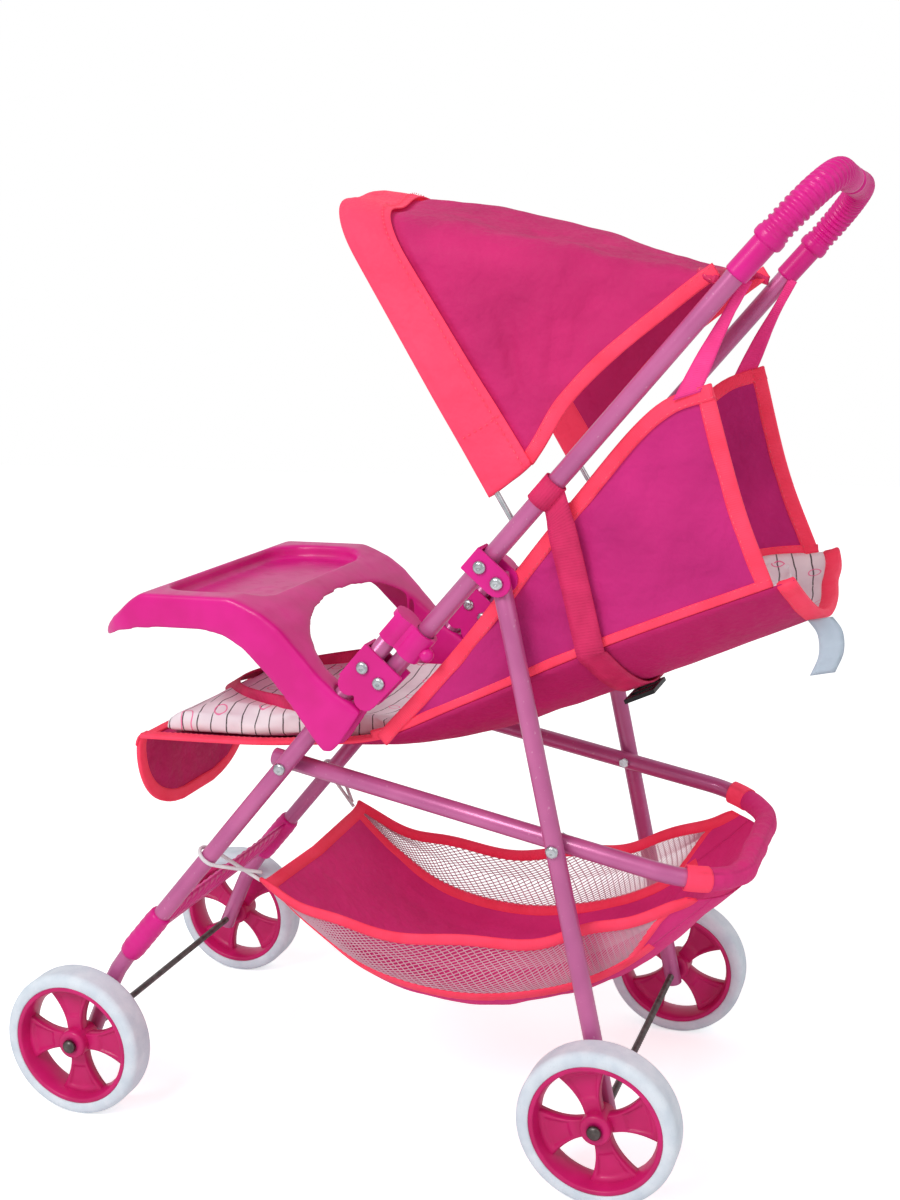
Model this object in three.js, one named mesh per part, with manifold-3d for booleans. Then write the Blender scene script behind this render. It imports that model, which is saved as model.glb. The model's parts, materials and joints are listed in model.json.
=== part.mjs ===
// Doll stroller: a folding steel tube frame on four wheels, with a canopy, a sling seat, a tray and a basket.
// Millimetres. X runs across the stroller, with +X its left side. It faces -Y, and its handle is at +Y. Z is up.
// The origin lies on the floor, at the middle of the stroller's box.
import * as THREE from "three";
import { mergeVertices } from "three/addons/utils/BufferGeometryUtils.js";
import Module from "manifold-3d";

const wasm = await Module();
wasm.setup();

// ---- Driving dimensions -------------------------------------------------------------------------------------

const GAP = 0.3; // clearance between pieces that fit or rest against each other
const DRILL = 20; // how far a drilling tool reaches past what it cuts

// tubes
const TUBE_R = 5;
const TUBE_SIDES = 16;
const BAR_SIDES = 14; // sides of the small round bars and holes
const TUBE_X = 87.5; // plane of the handle tube and the legs
const TUBE_CLEAR = 2; // between two tubes that lie side by side in a bracket
const TUBE_SPACING = 2 * TUBE_R + TUBE_CLEAR;
const END_PAST_PIVOT = 4.5; // how far a tube runs past its end pivot

// frame, seen from the side
const RAKE = THREE.MathUtils.degToRad(48.65); // slope of the handle tube
const FOLD_Z = 270; // height of the main fold pivot, at the handle tube's lower end
const HANDLE_REACH = 340; // from the fold pivot to the handle's cross grip
const HANDLE_KINK = 286; // where the handle starts to lean back
const HANDLE_LEAN = 1.2; // how far back the cross grip lies from the line of the tube
const HANDLE_KINK_R = 144;
const HANDLE_BEND_R = 36;
const LEG_RAKE = RAKE + THREE.MathUtils.degToRad(1); // slope of the front legs
const LEG_TOP = 33; // how far the front leg runs up past its bracket's rivet
const LEG_STRAIGHT = 255; // from that rivet down to the front leg's bend
const LEG_BEND_R = 80;
const LEG_BEND_STEP = 5; // degrees
const FRONT_AXLE_Y = -192.5;
const REAR_AXLE_Y = 122;
const LEG_PAST_AXLE = 6.5;
const REAR_PIVOT_UP = 86; // from the fold pivot up the handle tube to the rear leg's pivot
const FRONT_LINK_DOWN = 80; // from the leg's rivet down to the lower frame's front pivot
const REAR_LINK_DOWN = 143.7; // from the rear leg's pivot down to its link with the lower frame
const LOWER_GAP = 0.6; // between the lower frame's arms and the legs
const LOWER_PAST_FRONT = 11; // how far the lower frame's arms run past their front pivot
const LOWER_REACH = 94; // from the rear link to the middle of the lower frame's rear bar
const LOWER_BEND_R = 42;

// wheels
const WHEEL_R = 43.5;
const TYRE_INNER_R = 36.5;
const WHEEL_W = 20;
const WHEEL_CLEAR = 2; // between a wheel and its leg
const WHEEL_X = TUBE_X + TUBE_R + WHEEL_CLEAR + WHEEL_W / 2; // middle plane of a wheel
const RIM_W = WHEEL_W - 4;
const RIM_INNER_R = 30.5;
const RIM_STEP = 2; // how far the spokes' outer ends and the rim's bevel step in
const HUB_R = 7;
const WEB_T = 4; // thickness of the spokes
const SPOKES = 4;
const WINDOW_HALF_ANGLE = 30; // degrees, of the gap between two spokes, at the rim
const WINDOW_FROM = 15; // radius at which a gap's round inner end is centred
const WINDOW_END_R = 4.5;
const TYRE_EDGE = 4; // how far a tyre's rounded edge reaches in from its side
const TYRE_EDGE_R = 2.4; // and down from its tread
const WHEEL_SEGMENTS = 36;
const AXLE_R = 2;
const AXLE_CAP_R = 4;
const AXLE_CAP_L = 2.6;

// brackets, rivets and locks
const PLATE_T = 2;
const RIVET_R = 1.7;
const RIVET_HEAD_R = 3.6;
const RIVET_HEAD_H = 2;
const NUT_R = 3.2;
const NUT_H = 1.6;
const BRACKET_EDGE = 2.4; // how far a bracket's cheek reaches past the side of its tube
const PIVOT_PLATE_R = TUBE_R + BRACKET_EDGE;
const HINGE_UP = 11; // the hinge bracket's extent up and down the tubes from its rivets
const HINGE_DOWN = 19;
const HINGE_EDGE = TUBE_R + BRACKET_EDGE;
const LOCK_FROM = 20; // where the lock starts, up the tubes from the hinge rivets
const LOCK_L = 17;
const LOCK_WALL = 2.5;
const LOCK_R = TUBE_R + LOCK_WALL;
const LOCK_SIDES = 18;
const LOCK_KNOB_R = 4;
const LOCK_KNOB_OUT = 2; // how far outside the tube's axis the knob sits
const LOCK_WEB_IN = 2; // how far the web between its two sleeves stays inside their sides

// tray
const TRAY_FRONT = -177;
const TRAY_TOP = 312;
const TRAY_L = 174;
const TRAY_HALF_W = TUBE_X + 9.5; // its arms reach this far outside the legs' plane
const TRAY_ARM_W = 18; // at the top of its arms
const TRAY_CORNER_R = 34;
const TRAY_ARCH_FROM = -36; // where the arch between the arms starts
const TRAY_ARCH_DEPTH = 27;
const TRAY_T = 2.4;
// curves of the tray's side, as [distance behind its front, distance below its top]
const TRAY_NOSE = [
  [0, 29],
  [15, 8],
  [37, 0],
];
const TRAY_FALL = [
  [92, 0],
  [116, 12],
  [145, 43],
  [168, 58],
];
const TRAY_UNDER = [
  [154, 78],
  [144, 83],
  [127, 60],
  [99, 29],
  [72, 19],
  [19, 22],
];
const DISH_HALF_W = TRAY_HALF_W - 17;
const DISH_CORNER_R = 22;
const DISH_FROM = 38;
const DISH_TO = 100;
const DISH_DEPTH = 9;

// grips, footrest and canopy bow
const GRIP_FROM = 276; // where a grip starts, up the handle tube
const GRIP_MIDDLE_GAP = 6; // bare tube on each side of the handle's middle
const GRIP_WALL = 2;
const GRIP_R = TUBE_R + GRIP_WALL;
const GRIP_CUFF_R = TUBE_R + 1.3;
const GRIP_CUFF_L = 23;
const GRIP_RING_R = GRIP_R + 1;
const GRIP_RING_L = 6;
const FOOTREST_DOWN = 208; // where its sleeves start, down the leg from the bracket's rivet
const FOOTREST_L = 31;
const FOOTREST_R = TUBE_R + 1.9;
const FOOTREST_T = 3;
const BOW_R = 1.5;
const BOW_UP = 110; // pivot of the canopy bow, up the handle tube
const BOW_X = TUBE_X - 7.5; // inside the handle tubes
const BOW_L = 190;
const BOW_CROWN = 7; // rise of the bow's middle above its corners
const BOW_CROWN_R = 150;
const BOW_TILT = THREE.MathUtils.degToRad(73); // between the open bow and the handle tube
const BOW_CORNER_R = 34;

// soft parts
const CLOTH_T = 1.6;
const STRAP_T = 1.2;
const STRAP_W = 13;
const CANOPY_REAR = 271; // where the canopy is fixed, up the handle tube
const CANOPY_GAP = 20; // between the canopy's lower edge and the handle tube's axis
const CANOPY_GAP_AT = 0.65; // share of the way up to its rear edge where that gap is measured
const CANOPY_BULGE = 9; // how far its middle stands above a straight line from the bow to the handle
const CANOPY_OVER_BOW = 6.4; // between the bow's axis and the cloth above it
const CANOPY_HEM_UP = 15; // from the bow's pivot up to the canopy's front corner
const SLING_X = TUBE_X - 2 * TUBE_R - 1; // half the width of the seat's cloth, which hangs between the tubes
const SLING_TOP_X = TUBE_X - TUBE_R + 3.5; // half its width at the side panels' top corners
const SLING_TOP = [231, 25]; // a side panel's top corner: up the handle tube, and behind it
const SLING_FRONT = [-28, 13]; // its front corner, in the same way
const SEAT_SIDE_TO = 0.58; // share of the seat's length that has side panels
const SEAT_LOW = 220 + TUBE_R; // its height just above the front ends of the lower frame's arms
// the seat's edge from head to front: [y, z, depth of its hollow]
const SEAT_STATIONS = [
  [212, 332, 30],
  [116, 292, 32],
  [40, 256, 27],
  [-9, 234, 16],
  [-60, SEAT_LOW + 2, 6],
  [-85, SEAT_LOW, 4],
  [-115, SEAT_LOW - 1, 2],
  [-157, SEAT_LOW - 2, 1],
];
const PAD_X = SLING_X - 6.5;
const PAD_T = 13;
const PAD_T_HEAD = 4;
const PAD_FROM = 0.03;
const PAD_TO = 0.97;
const FLAP_X = SLING_X - 3.5;
const FLAP_L = 56;
const FLAP_LEAN = 6;
const RECLINE_UP = 137; // the strap's loop, up the handle tube
const RECLINE_SHARE = 0.152; // where it passes under the seat, from the head
const HANG_UP = 269;
const HANG_W = 10;
const HANG_SEAM = 8; // how far the strap runs down inside the panel it is sewn to
const BUCKLE_L = 30;
const BUCKLE_W = 18;
const BUCKLE_T = 2.4;
const BUCKLE_X = 18;
const LAP_SHARE = 0.57;
const LAP_X = PAD_X - 4;
const LAP_FALL = 2;
const LAP_SLACK = 92;
const LAP_RISE = 19.5; // from the seat's edge line up to the belt's middle
const TIE_R = 1.1;
const TIE_DOWN = 155; // the ties' place on the front legs, down from the rivet
const BASKET_X = TUBE_X - 2 * TUBE_R - 4.5; // inside the lower frame's arms
const BASKET_T = 1.8;
// the basket from front to rear: [y, height of its rim, height of its floor]
const BASKET_STATIONS = [
  [-85, 141, 137],
  [-58, 129, 110],
  [-22, 124, 84],
  [30, 122, 74],
  [84, 129, 84],
  [124, 141, 103],
  [162, 154, 137],
  [187, 161.4, 161],
];
const TAG_X = 40;
const TAG_W = 15;
const TAG_L = 29;
const TAG_T = 0.8;

// colours
const PAINT = { color: 0xc2689b, roughness: 0.38, metalness: 0.15 };
const HOT_PINK = { color: 0xe0209a, roughness: 0.35, metalness: 0 };
const WHEEL_PINK = { color: 0xc4195f, roughness: 0.4, metalness: 0 };
const TYRE_WHITE = { color: 0xe6ebf2, roughness: 0.6, metalness: 0 };
const STEEL = { color: 0xb9bcc0, roughness: 0.3, metalness: 1 };
const CLOTH = { color: 0xc5377f, roughness: 0.85, metalness: 0 };
const LINING = { color: 0xf1e4ea, roughness: 0.85, metalness: 0 };
const WEBBING = { color: 0xe0306c, roughness: 0.8, metalness: 0 };
const ELASTIC = { color: 0xf2f0f2, roughness: 0.7, metalness: 0 };
const BLACK = { color: 0x17171a, roughness: 0.4, metalness: 0 };

// ---- Places in the side view, as [y, z] -----------------------------------------------------------------------

const AXLE_Z = WHEEL_R;
// a point that lies up the handle tube from the fold pivot, and behind the tube
const onHandle = (up, behind) => [
  up * Math.cos(RAKE) + behind * Math.sin(RAKE),
  FOLD_Z + up * Math.sin(RAKE) - behind * Math.cos(RAKE),
];
const toward = (from, to, distance) => {
  const length = Math.hypot(to[0] - from[0], to[1] - from[1]);
  return [0, 1].map((k) => from[k] + ((to[k] - from[k]) * distance) / length);
};
const LEG_RIVET = onHandle(0, -TUBE_SPACING);
const onLeg = (down, behind = 0) => [
  LEG_RIVET[0] - down * Math.cos(LEG_RAKE) + behind * Math.sin(LEG_RAKE),
  LEG_RIVET[1] - down * Math.sin(LEG_RAKE) - behind * Math.cos(LEG_RAKE),
];
const FOLD_PIVOT = onHandle(0, 0);
const PLATE_RIVET = onHandle(REAR_PIVOT_UP, 0);
const REAR_PIVOT = onHandle(REAR_PIVOT_UP, TUBE_SPACING);
const FRONT_AXLE = [FRONT_AXLE_Y, AXLE_Z];
const REAR_AXLE = [REAR_AXLE_Y, AXLE_Z];
const FRONT_LINK = onLeg(FRONT_LINK_DOWN);
const REAR_LINK = toward(REAR_PIVOT, REAR_AXLE, REAR_LINK_DOWN);
const ARM_L = Math.hypot(REAR_LINK[0] - FRONT_LINK[0], REAR_LINK[1] - FRONT_LINK[1]);
const onLower = (back) => toward(FRONT_LINK, REAR_LINK, ARM_L + back);
const BOW_PIVOT = onHandle(BOW_UP, 0);
const onBow = (out, forward = 0) =>
  onHandle(
    BOW_UP + out * Math.cos(BOW_TILT) + forward * Math.sin(BOW_TILT),
    forward * Math.cos(BOW_TILT) - out * Math.sin(BOW_TILT),
  );
const LOWER_X = TUBE_X - 2 * TUBE_R - LOWER_GAP;
const at = (x, [y, z]) => new THREE.Vector3(x, y, z);

// ---- Solids ---------------------------------------------------------------------------------------------------

function solidOf(geometry) {
  const bare = geometry.clone();
  bare.deleteAttribute("normal");
  bare.deleteAttribute("uv");
  const merged = mergeVertices(bare, 1e-4);
  return new wasm.Manifold(
    new wasm.Mesh({
      numProp: 3,
      vertProperties: merged.attributes.position.array,
      triVerts: new Uint32Array(merged.index.array),
    }),
  );
}

function geometryOf(solid) {
  const mesh = solid.getMesh();
  const points = new Float32Array(mesh.numVert * 3);
  for (let i = 0; i < mesh.numVert; i += 1) {
    const start = i * mesh.numProp;
    points.set(mesh.vertProperties.subarray(start, start + 3), i * 3);
  }
  return new THREE.BufferGeometry()
    .setAttribute("position", new THREE.BufferAttribute(points, 3))
    .setIndex(new THREE.BufferAttribute(mesh.triVerts, 1));
}

const joined = (...solids) => solids.reduce((all, one) => all.add(one));
const cut = (solid, ...tools) => tools.reduce((left, tool) => left.subtract(tool), solid);

// A path given station by station, so that straight stretches stay one long face.
class StationPath extends THREE.Curve {
  constructor(points, tangents) {
    super();
    this.points = points;
    this.tangents = tangents;
  }
  station(u) {
    return Math.round(u * (this.points.length - 1));
  }
  getPoint(u) {
    return this.points[this.station(u)].clone();
  }
  getPointAt(u) {
    return this.getPoint(u);
  }
  getTangent(u) {
    return this.tangents[this.station(u)].clone();
  }
  getTangentAt(u) {
    return this.getTangent(u);
  }
}

// The path through corners, each rounded to its own radius, with one station for each step of the bend.
function roundedPath(corners, radii, step = 15) {
  const points = [corners[0].clone()];
  const tangents = [corners[1].clone().sub(corners[0]).normalize()];
  for (let i = 1; i < corners.length - 1; i += 1) {
    const before = corners[i].clone().sub(corners[i - 1]).normalize();
    const after = corners[i + 1].clone().sub(corners[i]).normalize();
    const turn = before.angleTo(after);
    const setback = radii[i - 1] * Math.tan(turn / 2);
    const start = corners[i].clone().addScaledVector(before, -setback);
    const axis = before.clone().cross(after).normalize();
    const spoke = before.clone().cross(axis).multiplyScalar(radii[i - 1]);
    const centre = start.clone().sub(spoke);
    const steps = Math.max(2, Math.ceil(THREE.MathUtils.radToDeg(turn) / step));
    for (let k = 0; k <= steps; k += 1) {
      const part = (turn * k) / steps;
      points.push(centre.clone().add(spoke.clone().applyAxisAngle(axis, part)));
      tangents.push(before.clone().applyAxisAngle(axis, part));
    }
  }
  const last = corners.at(-1);
  points.push(last.clone());
  tangents.push(last.clone().sub(corners.at(-2)).normalize());
  return new StationPath(points, tangents);
}

// The path through points themselves, smoothed only in its directions.
function pointPath(points) {
  const tangents = points.map((_, i) =>
    points[Math.min(i + 1, points.length - 1)].clone().sub(points[Math.max(i - 1, 0)]).normalize(),
  );
  return new StationPath(points, tangents);
}

const polygon = (radius, sides) =>
  new THREE.Shape(
    Array.from({ length: sides }, (_, i) => {
      const a = (2 * Math.PI * (i + 0.5)) / sides;
      return new THREE.Vector2(radius * Math.cos(a), radius * Math.sin(a));
    }),
  );

const sweep = (shape, path) =>
  solidOf(
    new THREE.ExtrudeGeometry(shape, { steps: path.points.length - 1, extrudePath: path }),
  );
const tube = (path, radius = TUBE_R, sides = TUBE_SIDES) => sweep(polygon(radius, sides), path);

// A round bar across the stroller, from x0 to x1.
function crossBar(x0, x1, place, radius, sides = BAR_SIDES) {
  const bar = new THREE.CylinderGeometry(radius, radius, Math.abs(x1 - x0), sides);
  bar.rotateZ(Math.PI / 2).translate((x0 + x1) / 2, ...place);
  return solidOf(bar);
}

// A flat outline seen from the side, given as [y, z] points, made as thick as from x0 to x1.
function sidePlate(outline, x0, x1) {
  const shape = new THREE.Shape(outline.map(([y, z]) => new THREE.Vector2(y, z)));
  const plate = new THREE.ExtrudeGeometry(shape, { depth: x1 - x0, bevelEnabled: false });
  const sideways = new THREE.Matrix4().set(0, 0, 1, x0, 1, 0, 0, 0, 0, 1, 0, 0, 0, 0, 0, 1);
  return solidOf(plate.applyMatrix4(sideways));
}

// A turned piece whose axis runs along X: its closed profile is [radius, x] points.
function turned(profile, segments) {
  const points = profile.map(([r, x]) => new THREE.Vector2(r, x));
  const lathe = new THREE.LatheGeometry(points, segments).rotateZ(-Math.PI / 2);
  return solidOf(lathe);
}

// A sheet of even thickness through a grid of points.
function sheet(grid, thickness) {
  const rows = grid.length;
  const columns = grid[0].length;
  const point = (i, j) =>
    grid[THREE.MathUtils.clamp(i, 0, rows - 1)][THREE.MathUtils.clamp(j, 0, columns - 1)];
  const outer = [];
  const inner = [];
  for (let i = 0; i < rows; i += 1) {
    for (let j = 0; j < columns; j += 1) {
      const along = point(i + 1, j).clone().sub(point(i - 1, j));
      const across = point(i, j + 1).clone().sub(point(i, j - 1));
      const half = along.cross(across).normalize().multiplyScalar(thickness / 2);
      outer.push(point(i, j).clone().add(half));
      inner.push(point(i, j).clone().sub(half));
    }
  }
  const faces = [];
  const count = rows * columns;
  const quad = (a, b, c, d) => faces.push(a, b, c, a, c, d);
  const edge = [];
  for (let j = 0; j < columns - 1; j += 1) edge.push([0, j]);
  for (let i = 0; i < rows - 1; i += 1) edge.push([i, columns - 1]);
  for (let j = columns - 1; j > 0; j -= 1) edge.push([rows - 1, j]);
  for (let i = rows - 1; i > 0; i -= 1) edge.push([i, 0]);
  for (let i = 0; i < rows - 1; i += 1) {
    for (let j = 0; j < columns - 1; j += 1) {
      const a = i * columns + j;
      const b = a + columns;
      quad(a, b, b + 1, a + 1);
      quad(count + a, count + a + 1, count + b + 1, count + b);
    }
  }
  edge.forEach(([i, j], k) => {
    const [m, n] = edge[(k + 1) % edge.length];
    const a = i * columns + j;
    const b = m * columns + n;
    quad(a, b, count + b, count + a);
  });
  const points = [...outer, ...inner].flatMap((p) => p.toArray());
  return solidOf(
    new THREE.BufferGeometry()
      .setAttribute("position", new THREE.Float32BufferAttribute(points, 3))
      .setIndex(faces),
  );
}

// A closed body through rings of points, with its first and last ring filled in.
function loft(rings) {
  const n = rings[0].length;
  const middle = (ring) =>
    ring.reduce((sum, p) => sum.add(p), new THREE.Vector3()).divideScalar(n);
  const points = [...rings.flat(), middle(rings[0]), middle(rings.at(-1))];
  const faces = [];
  rings.slice(1).forEach((_, i) => {
    for (let j = 0; j < n; j += 1) {
      const a = i * n + j;
      const b = i * n + ((j + 1) % n);
      faces.push(a, a + n, b + n, a, b + n, b);
    }
  });
  const first = rings.length * n;
  const end = first - n;
  for (let j = 0; j < n; j += 1) {
    const k = (j + 1) % n;
    faces.push(first, j, k, first + 1, end + k, end + j);
  }
  return solidOf(
    new THREE.BufferGeometry()
      .setAttribute("position", new THREE.Float32BufferAttribute(points.flatMap((p) => p.toArray()), 3))
      .setIndex(faces),
  );
}

const root = new THREE.Group();
root.name = "doll_stroller";

function add(name, solid, finish, group = root) {
  const mesh = new THREE.Mesh(geometryOf(solid), new THREE.MeshStandardMaterial(finish));
  mesh.name = name;
  group.add(mesh);
  return mesh;
}

const mirrored = (solid) => solid.mirror([1, 0, 0]);

// Adds a left piece and its mirror image on the right.
function addPair(name, solid, finish) {
  add(name + "_left", solid, finish);
  add(name + "_right", mirrored(solid), finish);
}

// ---- Frame tubes ------------------------------------------------------------------------------------------------

const hole = (place, radius = RIVET_R + GAP) =>
  crossBar(TUBE_X - DRILL, TUBE_X + DRILL, place, radius);
const bothSides = (tool) => joined(tool, mirrored(tool));

function handlePath() {
  const side = (sign) => [
    at(sign * TUBE_X, onHandle(-END_PAST_PIVOT, 0)),
    at(sign * TUBE_X, onHandle(HANDLE_KINK, 0)),
    at(sign * TUBE_X, onHandle(HANDLE_REACH, HANDLE_LEAN)),
  ];
  const radii = [HANDLE_KINK_R, HANDLE_BEND_R, HANDLE_BEND_R, HANDLE_KINK_R];
  return roundedPath([...side(1), ...side(-1).reverse()], radii);
}

function handleTube() {
  const bowHole = crossBar(TUBE_X - DRILL, TUBE_X + TUBE_R / 2, BOW_PIVOT, BOW_R + GAP);
  const tools = [hole(FOLD_PIVOT), hole(PLATE_RIVET), bowHole];
  return cut(tube(handlePath()), ...tools.map(bothSides));
}

function frontLeg() {
  const foot = toward(FRONT_AXLE, onLeg(LEG_STRAIGHT), -LEG_PAST_AXLE);
  const path = roundedPath(
    [at(TUBE_X, onLeg(-LEG_TOP)), at(TUBE_X, onLeg(LEG_STRAIGHT)), at(TUBE_X, foot)],
    [LEG_BEND_R],
    LEG_BEND_STEP,
  );
  return cut(tube(path), hole(LEG_RIVET), hole(FRONT_LINK), hole(FRONT_AXLE, AXLE_R + GAP));
}

function rearLeg() {
  const top = toward(REAR_PIVOT, REAR_AXLE, -END_PAST_PIVOT);
  const foot = toward(REAR_AXLE, REAR_PIVOT, -LEG_PAST_AXLE);
  const path = roundedPath([at(TUBE_X, top), at(TUBE_X, foot)], []);
  return cut(tube(path), hole(REAR_PIVOT), hole(REAR_LINK), hole(REAR_AXLE, AXLE_R + GAP));
}

function lowerFrame() {
  const front = toward(FRONT_LINK, REAR_LINK, -LOWER_PAST_FRONT);
  const corners = [
    at(LOWER_X, front),
    at(LOWER_X, onLower(LOWER_REACH)),
    at(-LOWER_X, onLower(LOWER_REACH)),
    at(-LOWER_X, front),
  ];
  const bar = tube(roundedPath(corners, [LOWER_BEND_R, LOWER_BEND_R]));
  return cut(bar, bothSides(hole(FRONT_LINK)), bothSides(hole(REAR_LINK)));
}

add("handle_tube", handleTube(), PAINT);
addPair("front_leg", frontLeg(), PAINT);
addPair("rear_leg", rearLeg(), PAINT);
add("lower_frame", lowerFrame(), PAINT);

// ---- Brackets, locks and rivets -----------------------------------------------------------------------------------

const CHEEK_OUT = TUBE_X + TUBE_R + GAP; // inner faces of a bracket's two cheeks
const CHEEK_IN = TUBE_X - TUBE_R - GAP;

// An outline given up and behind the handle tube, as [y, z] points.
const inSideView = (outline) => outline.map(([up, behind]) => onHandle(up, behind));

// Points of an arc, in degrees, about a centre.
function arc([a, b], radius, from, to, steps) {
  return Array.from({ length: steps + 1 }, (_, i) => {
    const angle = THREE.MathUtils.degToRad(from + ((to - from) * i) / steps);
    return [a + radius * Math.cos(angle), b + radius * Math.sin(angle)];
  });
}

// Two cheeks joined by a wall in front of the tubes, open to the rear so that a tube can swing between them.
function bracket(outline, wall, rivets) {
  const block = sidePlate(inSideView(outline), CHEEK_IN - PLATE_T, CHEEK_OUT + PLATE_T);
  const slot = [
    [-DRILL * 3, wall],
    [DRILL * 6, wall],
    [DRILL * 6, DRILL * 3],
    [-DRILL * 3, DRILL * 3],
  ];
  return cut(block, sidePlate(inSideView(slot), CHEEK_IN, CHEEK_OUT), ...rivets.map((p) => hole(p)));
}

function pivotBracket() {
  const r = PIVOT_PLATE_R;
  const up = REAR_PIVOT_UP;
  const outline = [
    [up - r, -r],
    ...arc([up, TUBE_SPACING], r, 180, 0, 8),
    [up + r, -r],
  ];
  return bracket(outline, -TUBE_R - GAP, [PLATE_RIVET, REAR_PIVOT]);
}

function hingeBracket() {
  const lobe = HINGE_EDGE - 1;
  const foot = lobe - HINGE_DOWN;
  const outline = [
    [HINGE_UP, HINGE_EDGE],
    ...arc([foot, 0], lobe, 90, 240, 6),
    ...arc([foot, -TUBE_SPACING], lobe, 120, 270, 6),
    [foot, -TUBE_SPACING - HINGE_EDGE],
    [HINGE_UP, -TUBE_SPACING - HINGE_EDGE],
  ];
  return bracket(outline, -TUBE_SPACING - TUBE_R - 2 * GAP, [FOLD_PIVOT, LEG_RIVET]);
}

// The lock slides on the handle tube. Its open saddle snaps over the front leg's top end.
function lockClip() {
  const from = LOCK_FROM;
  const to = LOCK_FROM + LOCK_L;
  const straight = (a, b, behind, radius, x = TUBE_X) =>
    tube(roundedPath([at(x, onHandle(a, behind)), at(x, onHandle(b, behind))], []), radius, LOCK_SIDES);
  const tilt = (up) => up * Math.tan(LEG_RAKE - RAKE);
  const saddle = -TUBE_SPACING - tilt(LOCK_FROM);
  const bridge = sidePlate(
    inSideView([
      [from, 0],
      [to, 0],
      [to, saddle],
      [from, saddle],
    ]),
    TUBE_X - LOCK_R + LOCK_WEB_IN,
    TUBE_X + LOCK_R - LOCK_WEB_IN,
  );
  const knob = new THREE.SphereGeometry(LOCK_KNOB_R, 12, 8);
  knob.translate(TUBE_X + LOCK_KNOB_OUT, ...onHandle((from + to) / 2, LOCK_R + LOCK_KNOB_R / 4));
  const body = joined(
    straight(from, to, 0, LOCK_R),
    straight(from, to, saddle, LOCK_R),
    bridge,
    solidOf(knob),
  );
  const mouth = sidePlate(
    inSideView([
      [from - DRILL, saddle],
      [LEG_TOP + GAP, saddle],
      [LEG_TOP + GAP, saddle - DRILL],
      [from - DRILL, saddle - DRILL],
    ]),
    TUBE_X - TUBE_R - GAP,
    TUBE_X + TUBE_R + GAP,
  );
  return cut(
    body,
    straight(from - DRILL, to + DRILL, 0, TUBE_R + 1.5 * GAP),
    straight(from - DRILL, LEG_TOP + GAP, saddle, TUBE_R + 2 * GAP),
    mouth,
  );
}

// A domed head outside, a shank, and a washer inside, from x0 in to x1 out.
function rivet(place, x0, x1) {
  const head = arc([0, 0], 1, 0, 90, 3).map(([a, b]) => [a * RIVET_HEAD_R, x1 + b * RIVET_HEAD_H]);
  const profile = [
    [0, x0 - NUT_H],
    [NUT_R, x0 - NUT_H],
    [NUT_R, x0],
    [RIVET_R, x0],
    [RIVET_R, x1],
    ...head,
  ];
  profile.at(-1)[0] = 0;
  return turned(profile, BAR_SIDES).translate([0, ...place]);
}

addPair("pivot_bracket", pivotBracket(), HOT_PINK);
addPair("hinge_bracket", hingeBracket(), HOT_PINK);
addPair("lock_clip", lockClip(), HOT_PINK);

const BRACKET_IN = CHEEK_IN - PLATE_T - GAP;
const BRACKET_OUT = CHEEK_OUT + PLATE_T + GAP;
const LEG_OUT = TUBE_X + TUBE_R + GAP;
const LEG_IN = TUBE_X - TUBE_R - GAP;
const ARM_IN = LOWER_X - TUBE_R - GAP;

addPair("plate_rivet", rivet(PLATE_RIVET, BRACKET_IN, BRACKET_OUT), STEEL);
addPair("rear_pivot_rivet", rivet(REAR_PIVOT, BRACKET_IN, BRACKET_OUT), STEEL);
addPair("fold_pivot_rivet", rivet(FOLD_PIVOT, BRACKET_IN, BRACKET_OUT), STEEL);
addPair("leg_rivet", rivet(LEG_RIVET, BRACKET_IN, BRACKET_OUT), STEEL);
addPair("front_link_rivet", rivet(FRONT_LINK, ARM_IN, LEG_OUT), STEEL);

// The rear link is two studs, one through the rear leg and one through the lower frame.
function linkStud() {
  const shank = crossBar(LEG_IN + 2 * GAP, LEG_OUT + GAP, REAR_LINK, RIVET_R);
  return joined(shank, cut(rivet(REAR_LINK, LEG_IN, LEG_OUT), crossBar(0, LEG_OUT, REAR_LINK, NUT_R * 2)));
}

function linkNut() {
  const from = LOWER_X + TUBE_R - GAP;
  const shank = crossBar(ARM_IN - GAP, from, REAR_LINK, RIVET_R);
  return joined(shank, crossBar(ARM_IN - NUT_H - GAP, ARM_IN, REAR_LINK, NUT_R, 6));
}

addPair("rear_link_stud", linkStud(), STEEL);
addPair("rear_link_nut", linkNut(), STEEL);

// ---- Wheels and axles ---------------------------------------------------------------------------------------------

const OUTER_END = WHEEL_X + WHEEL_W / 2 + GAP;

function axle(place) {
  const tip = OUTER_END + AXLE_CAP_L;
  const half = [
    [AXLE_R, OUTER_END],
    [AXLE_CAP_R, OUTER_END],
    [AXLE_CAP_R * 0.8, OUTER_END + AXLE_CAP_L * 0.7],
    [AXLE_CAP_R * 0.3, tip],
  ];
  const profile = [
    [0, -tip],
    ...half.toReversed().map(([r, x]) => [r, -x]),
    ...half,
    [0, tip],
  ];
  return turned(profile, BAR_SIDES).translate([0, ...place]);
}

function tyre() {
  const w = WHEEL_W / 2;
  const r = WHEEL_R;
  const profile = [
    [TYRE_INNER_R, -RIM_W / 2],
    [TYRE_INNER_R + 1, -w],
    [r - TYRE_EDGE_R, -w],
    [r, TYRE_EDGE - w],
    [r, w - TYRE_EDGE],
    [r - TYRE_EDGE_R, w],
    [TYRE_INNER_R + 1, w],
    [TYRE_INNER_R, RIM_W / 2],
    [TYRE_INNER_R, -RIM_W / 2],
  ];
  return turned(profile, WHEEL_SEGMENTS);
}

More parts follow.
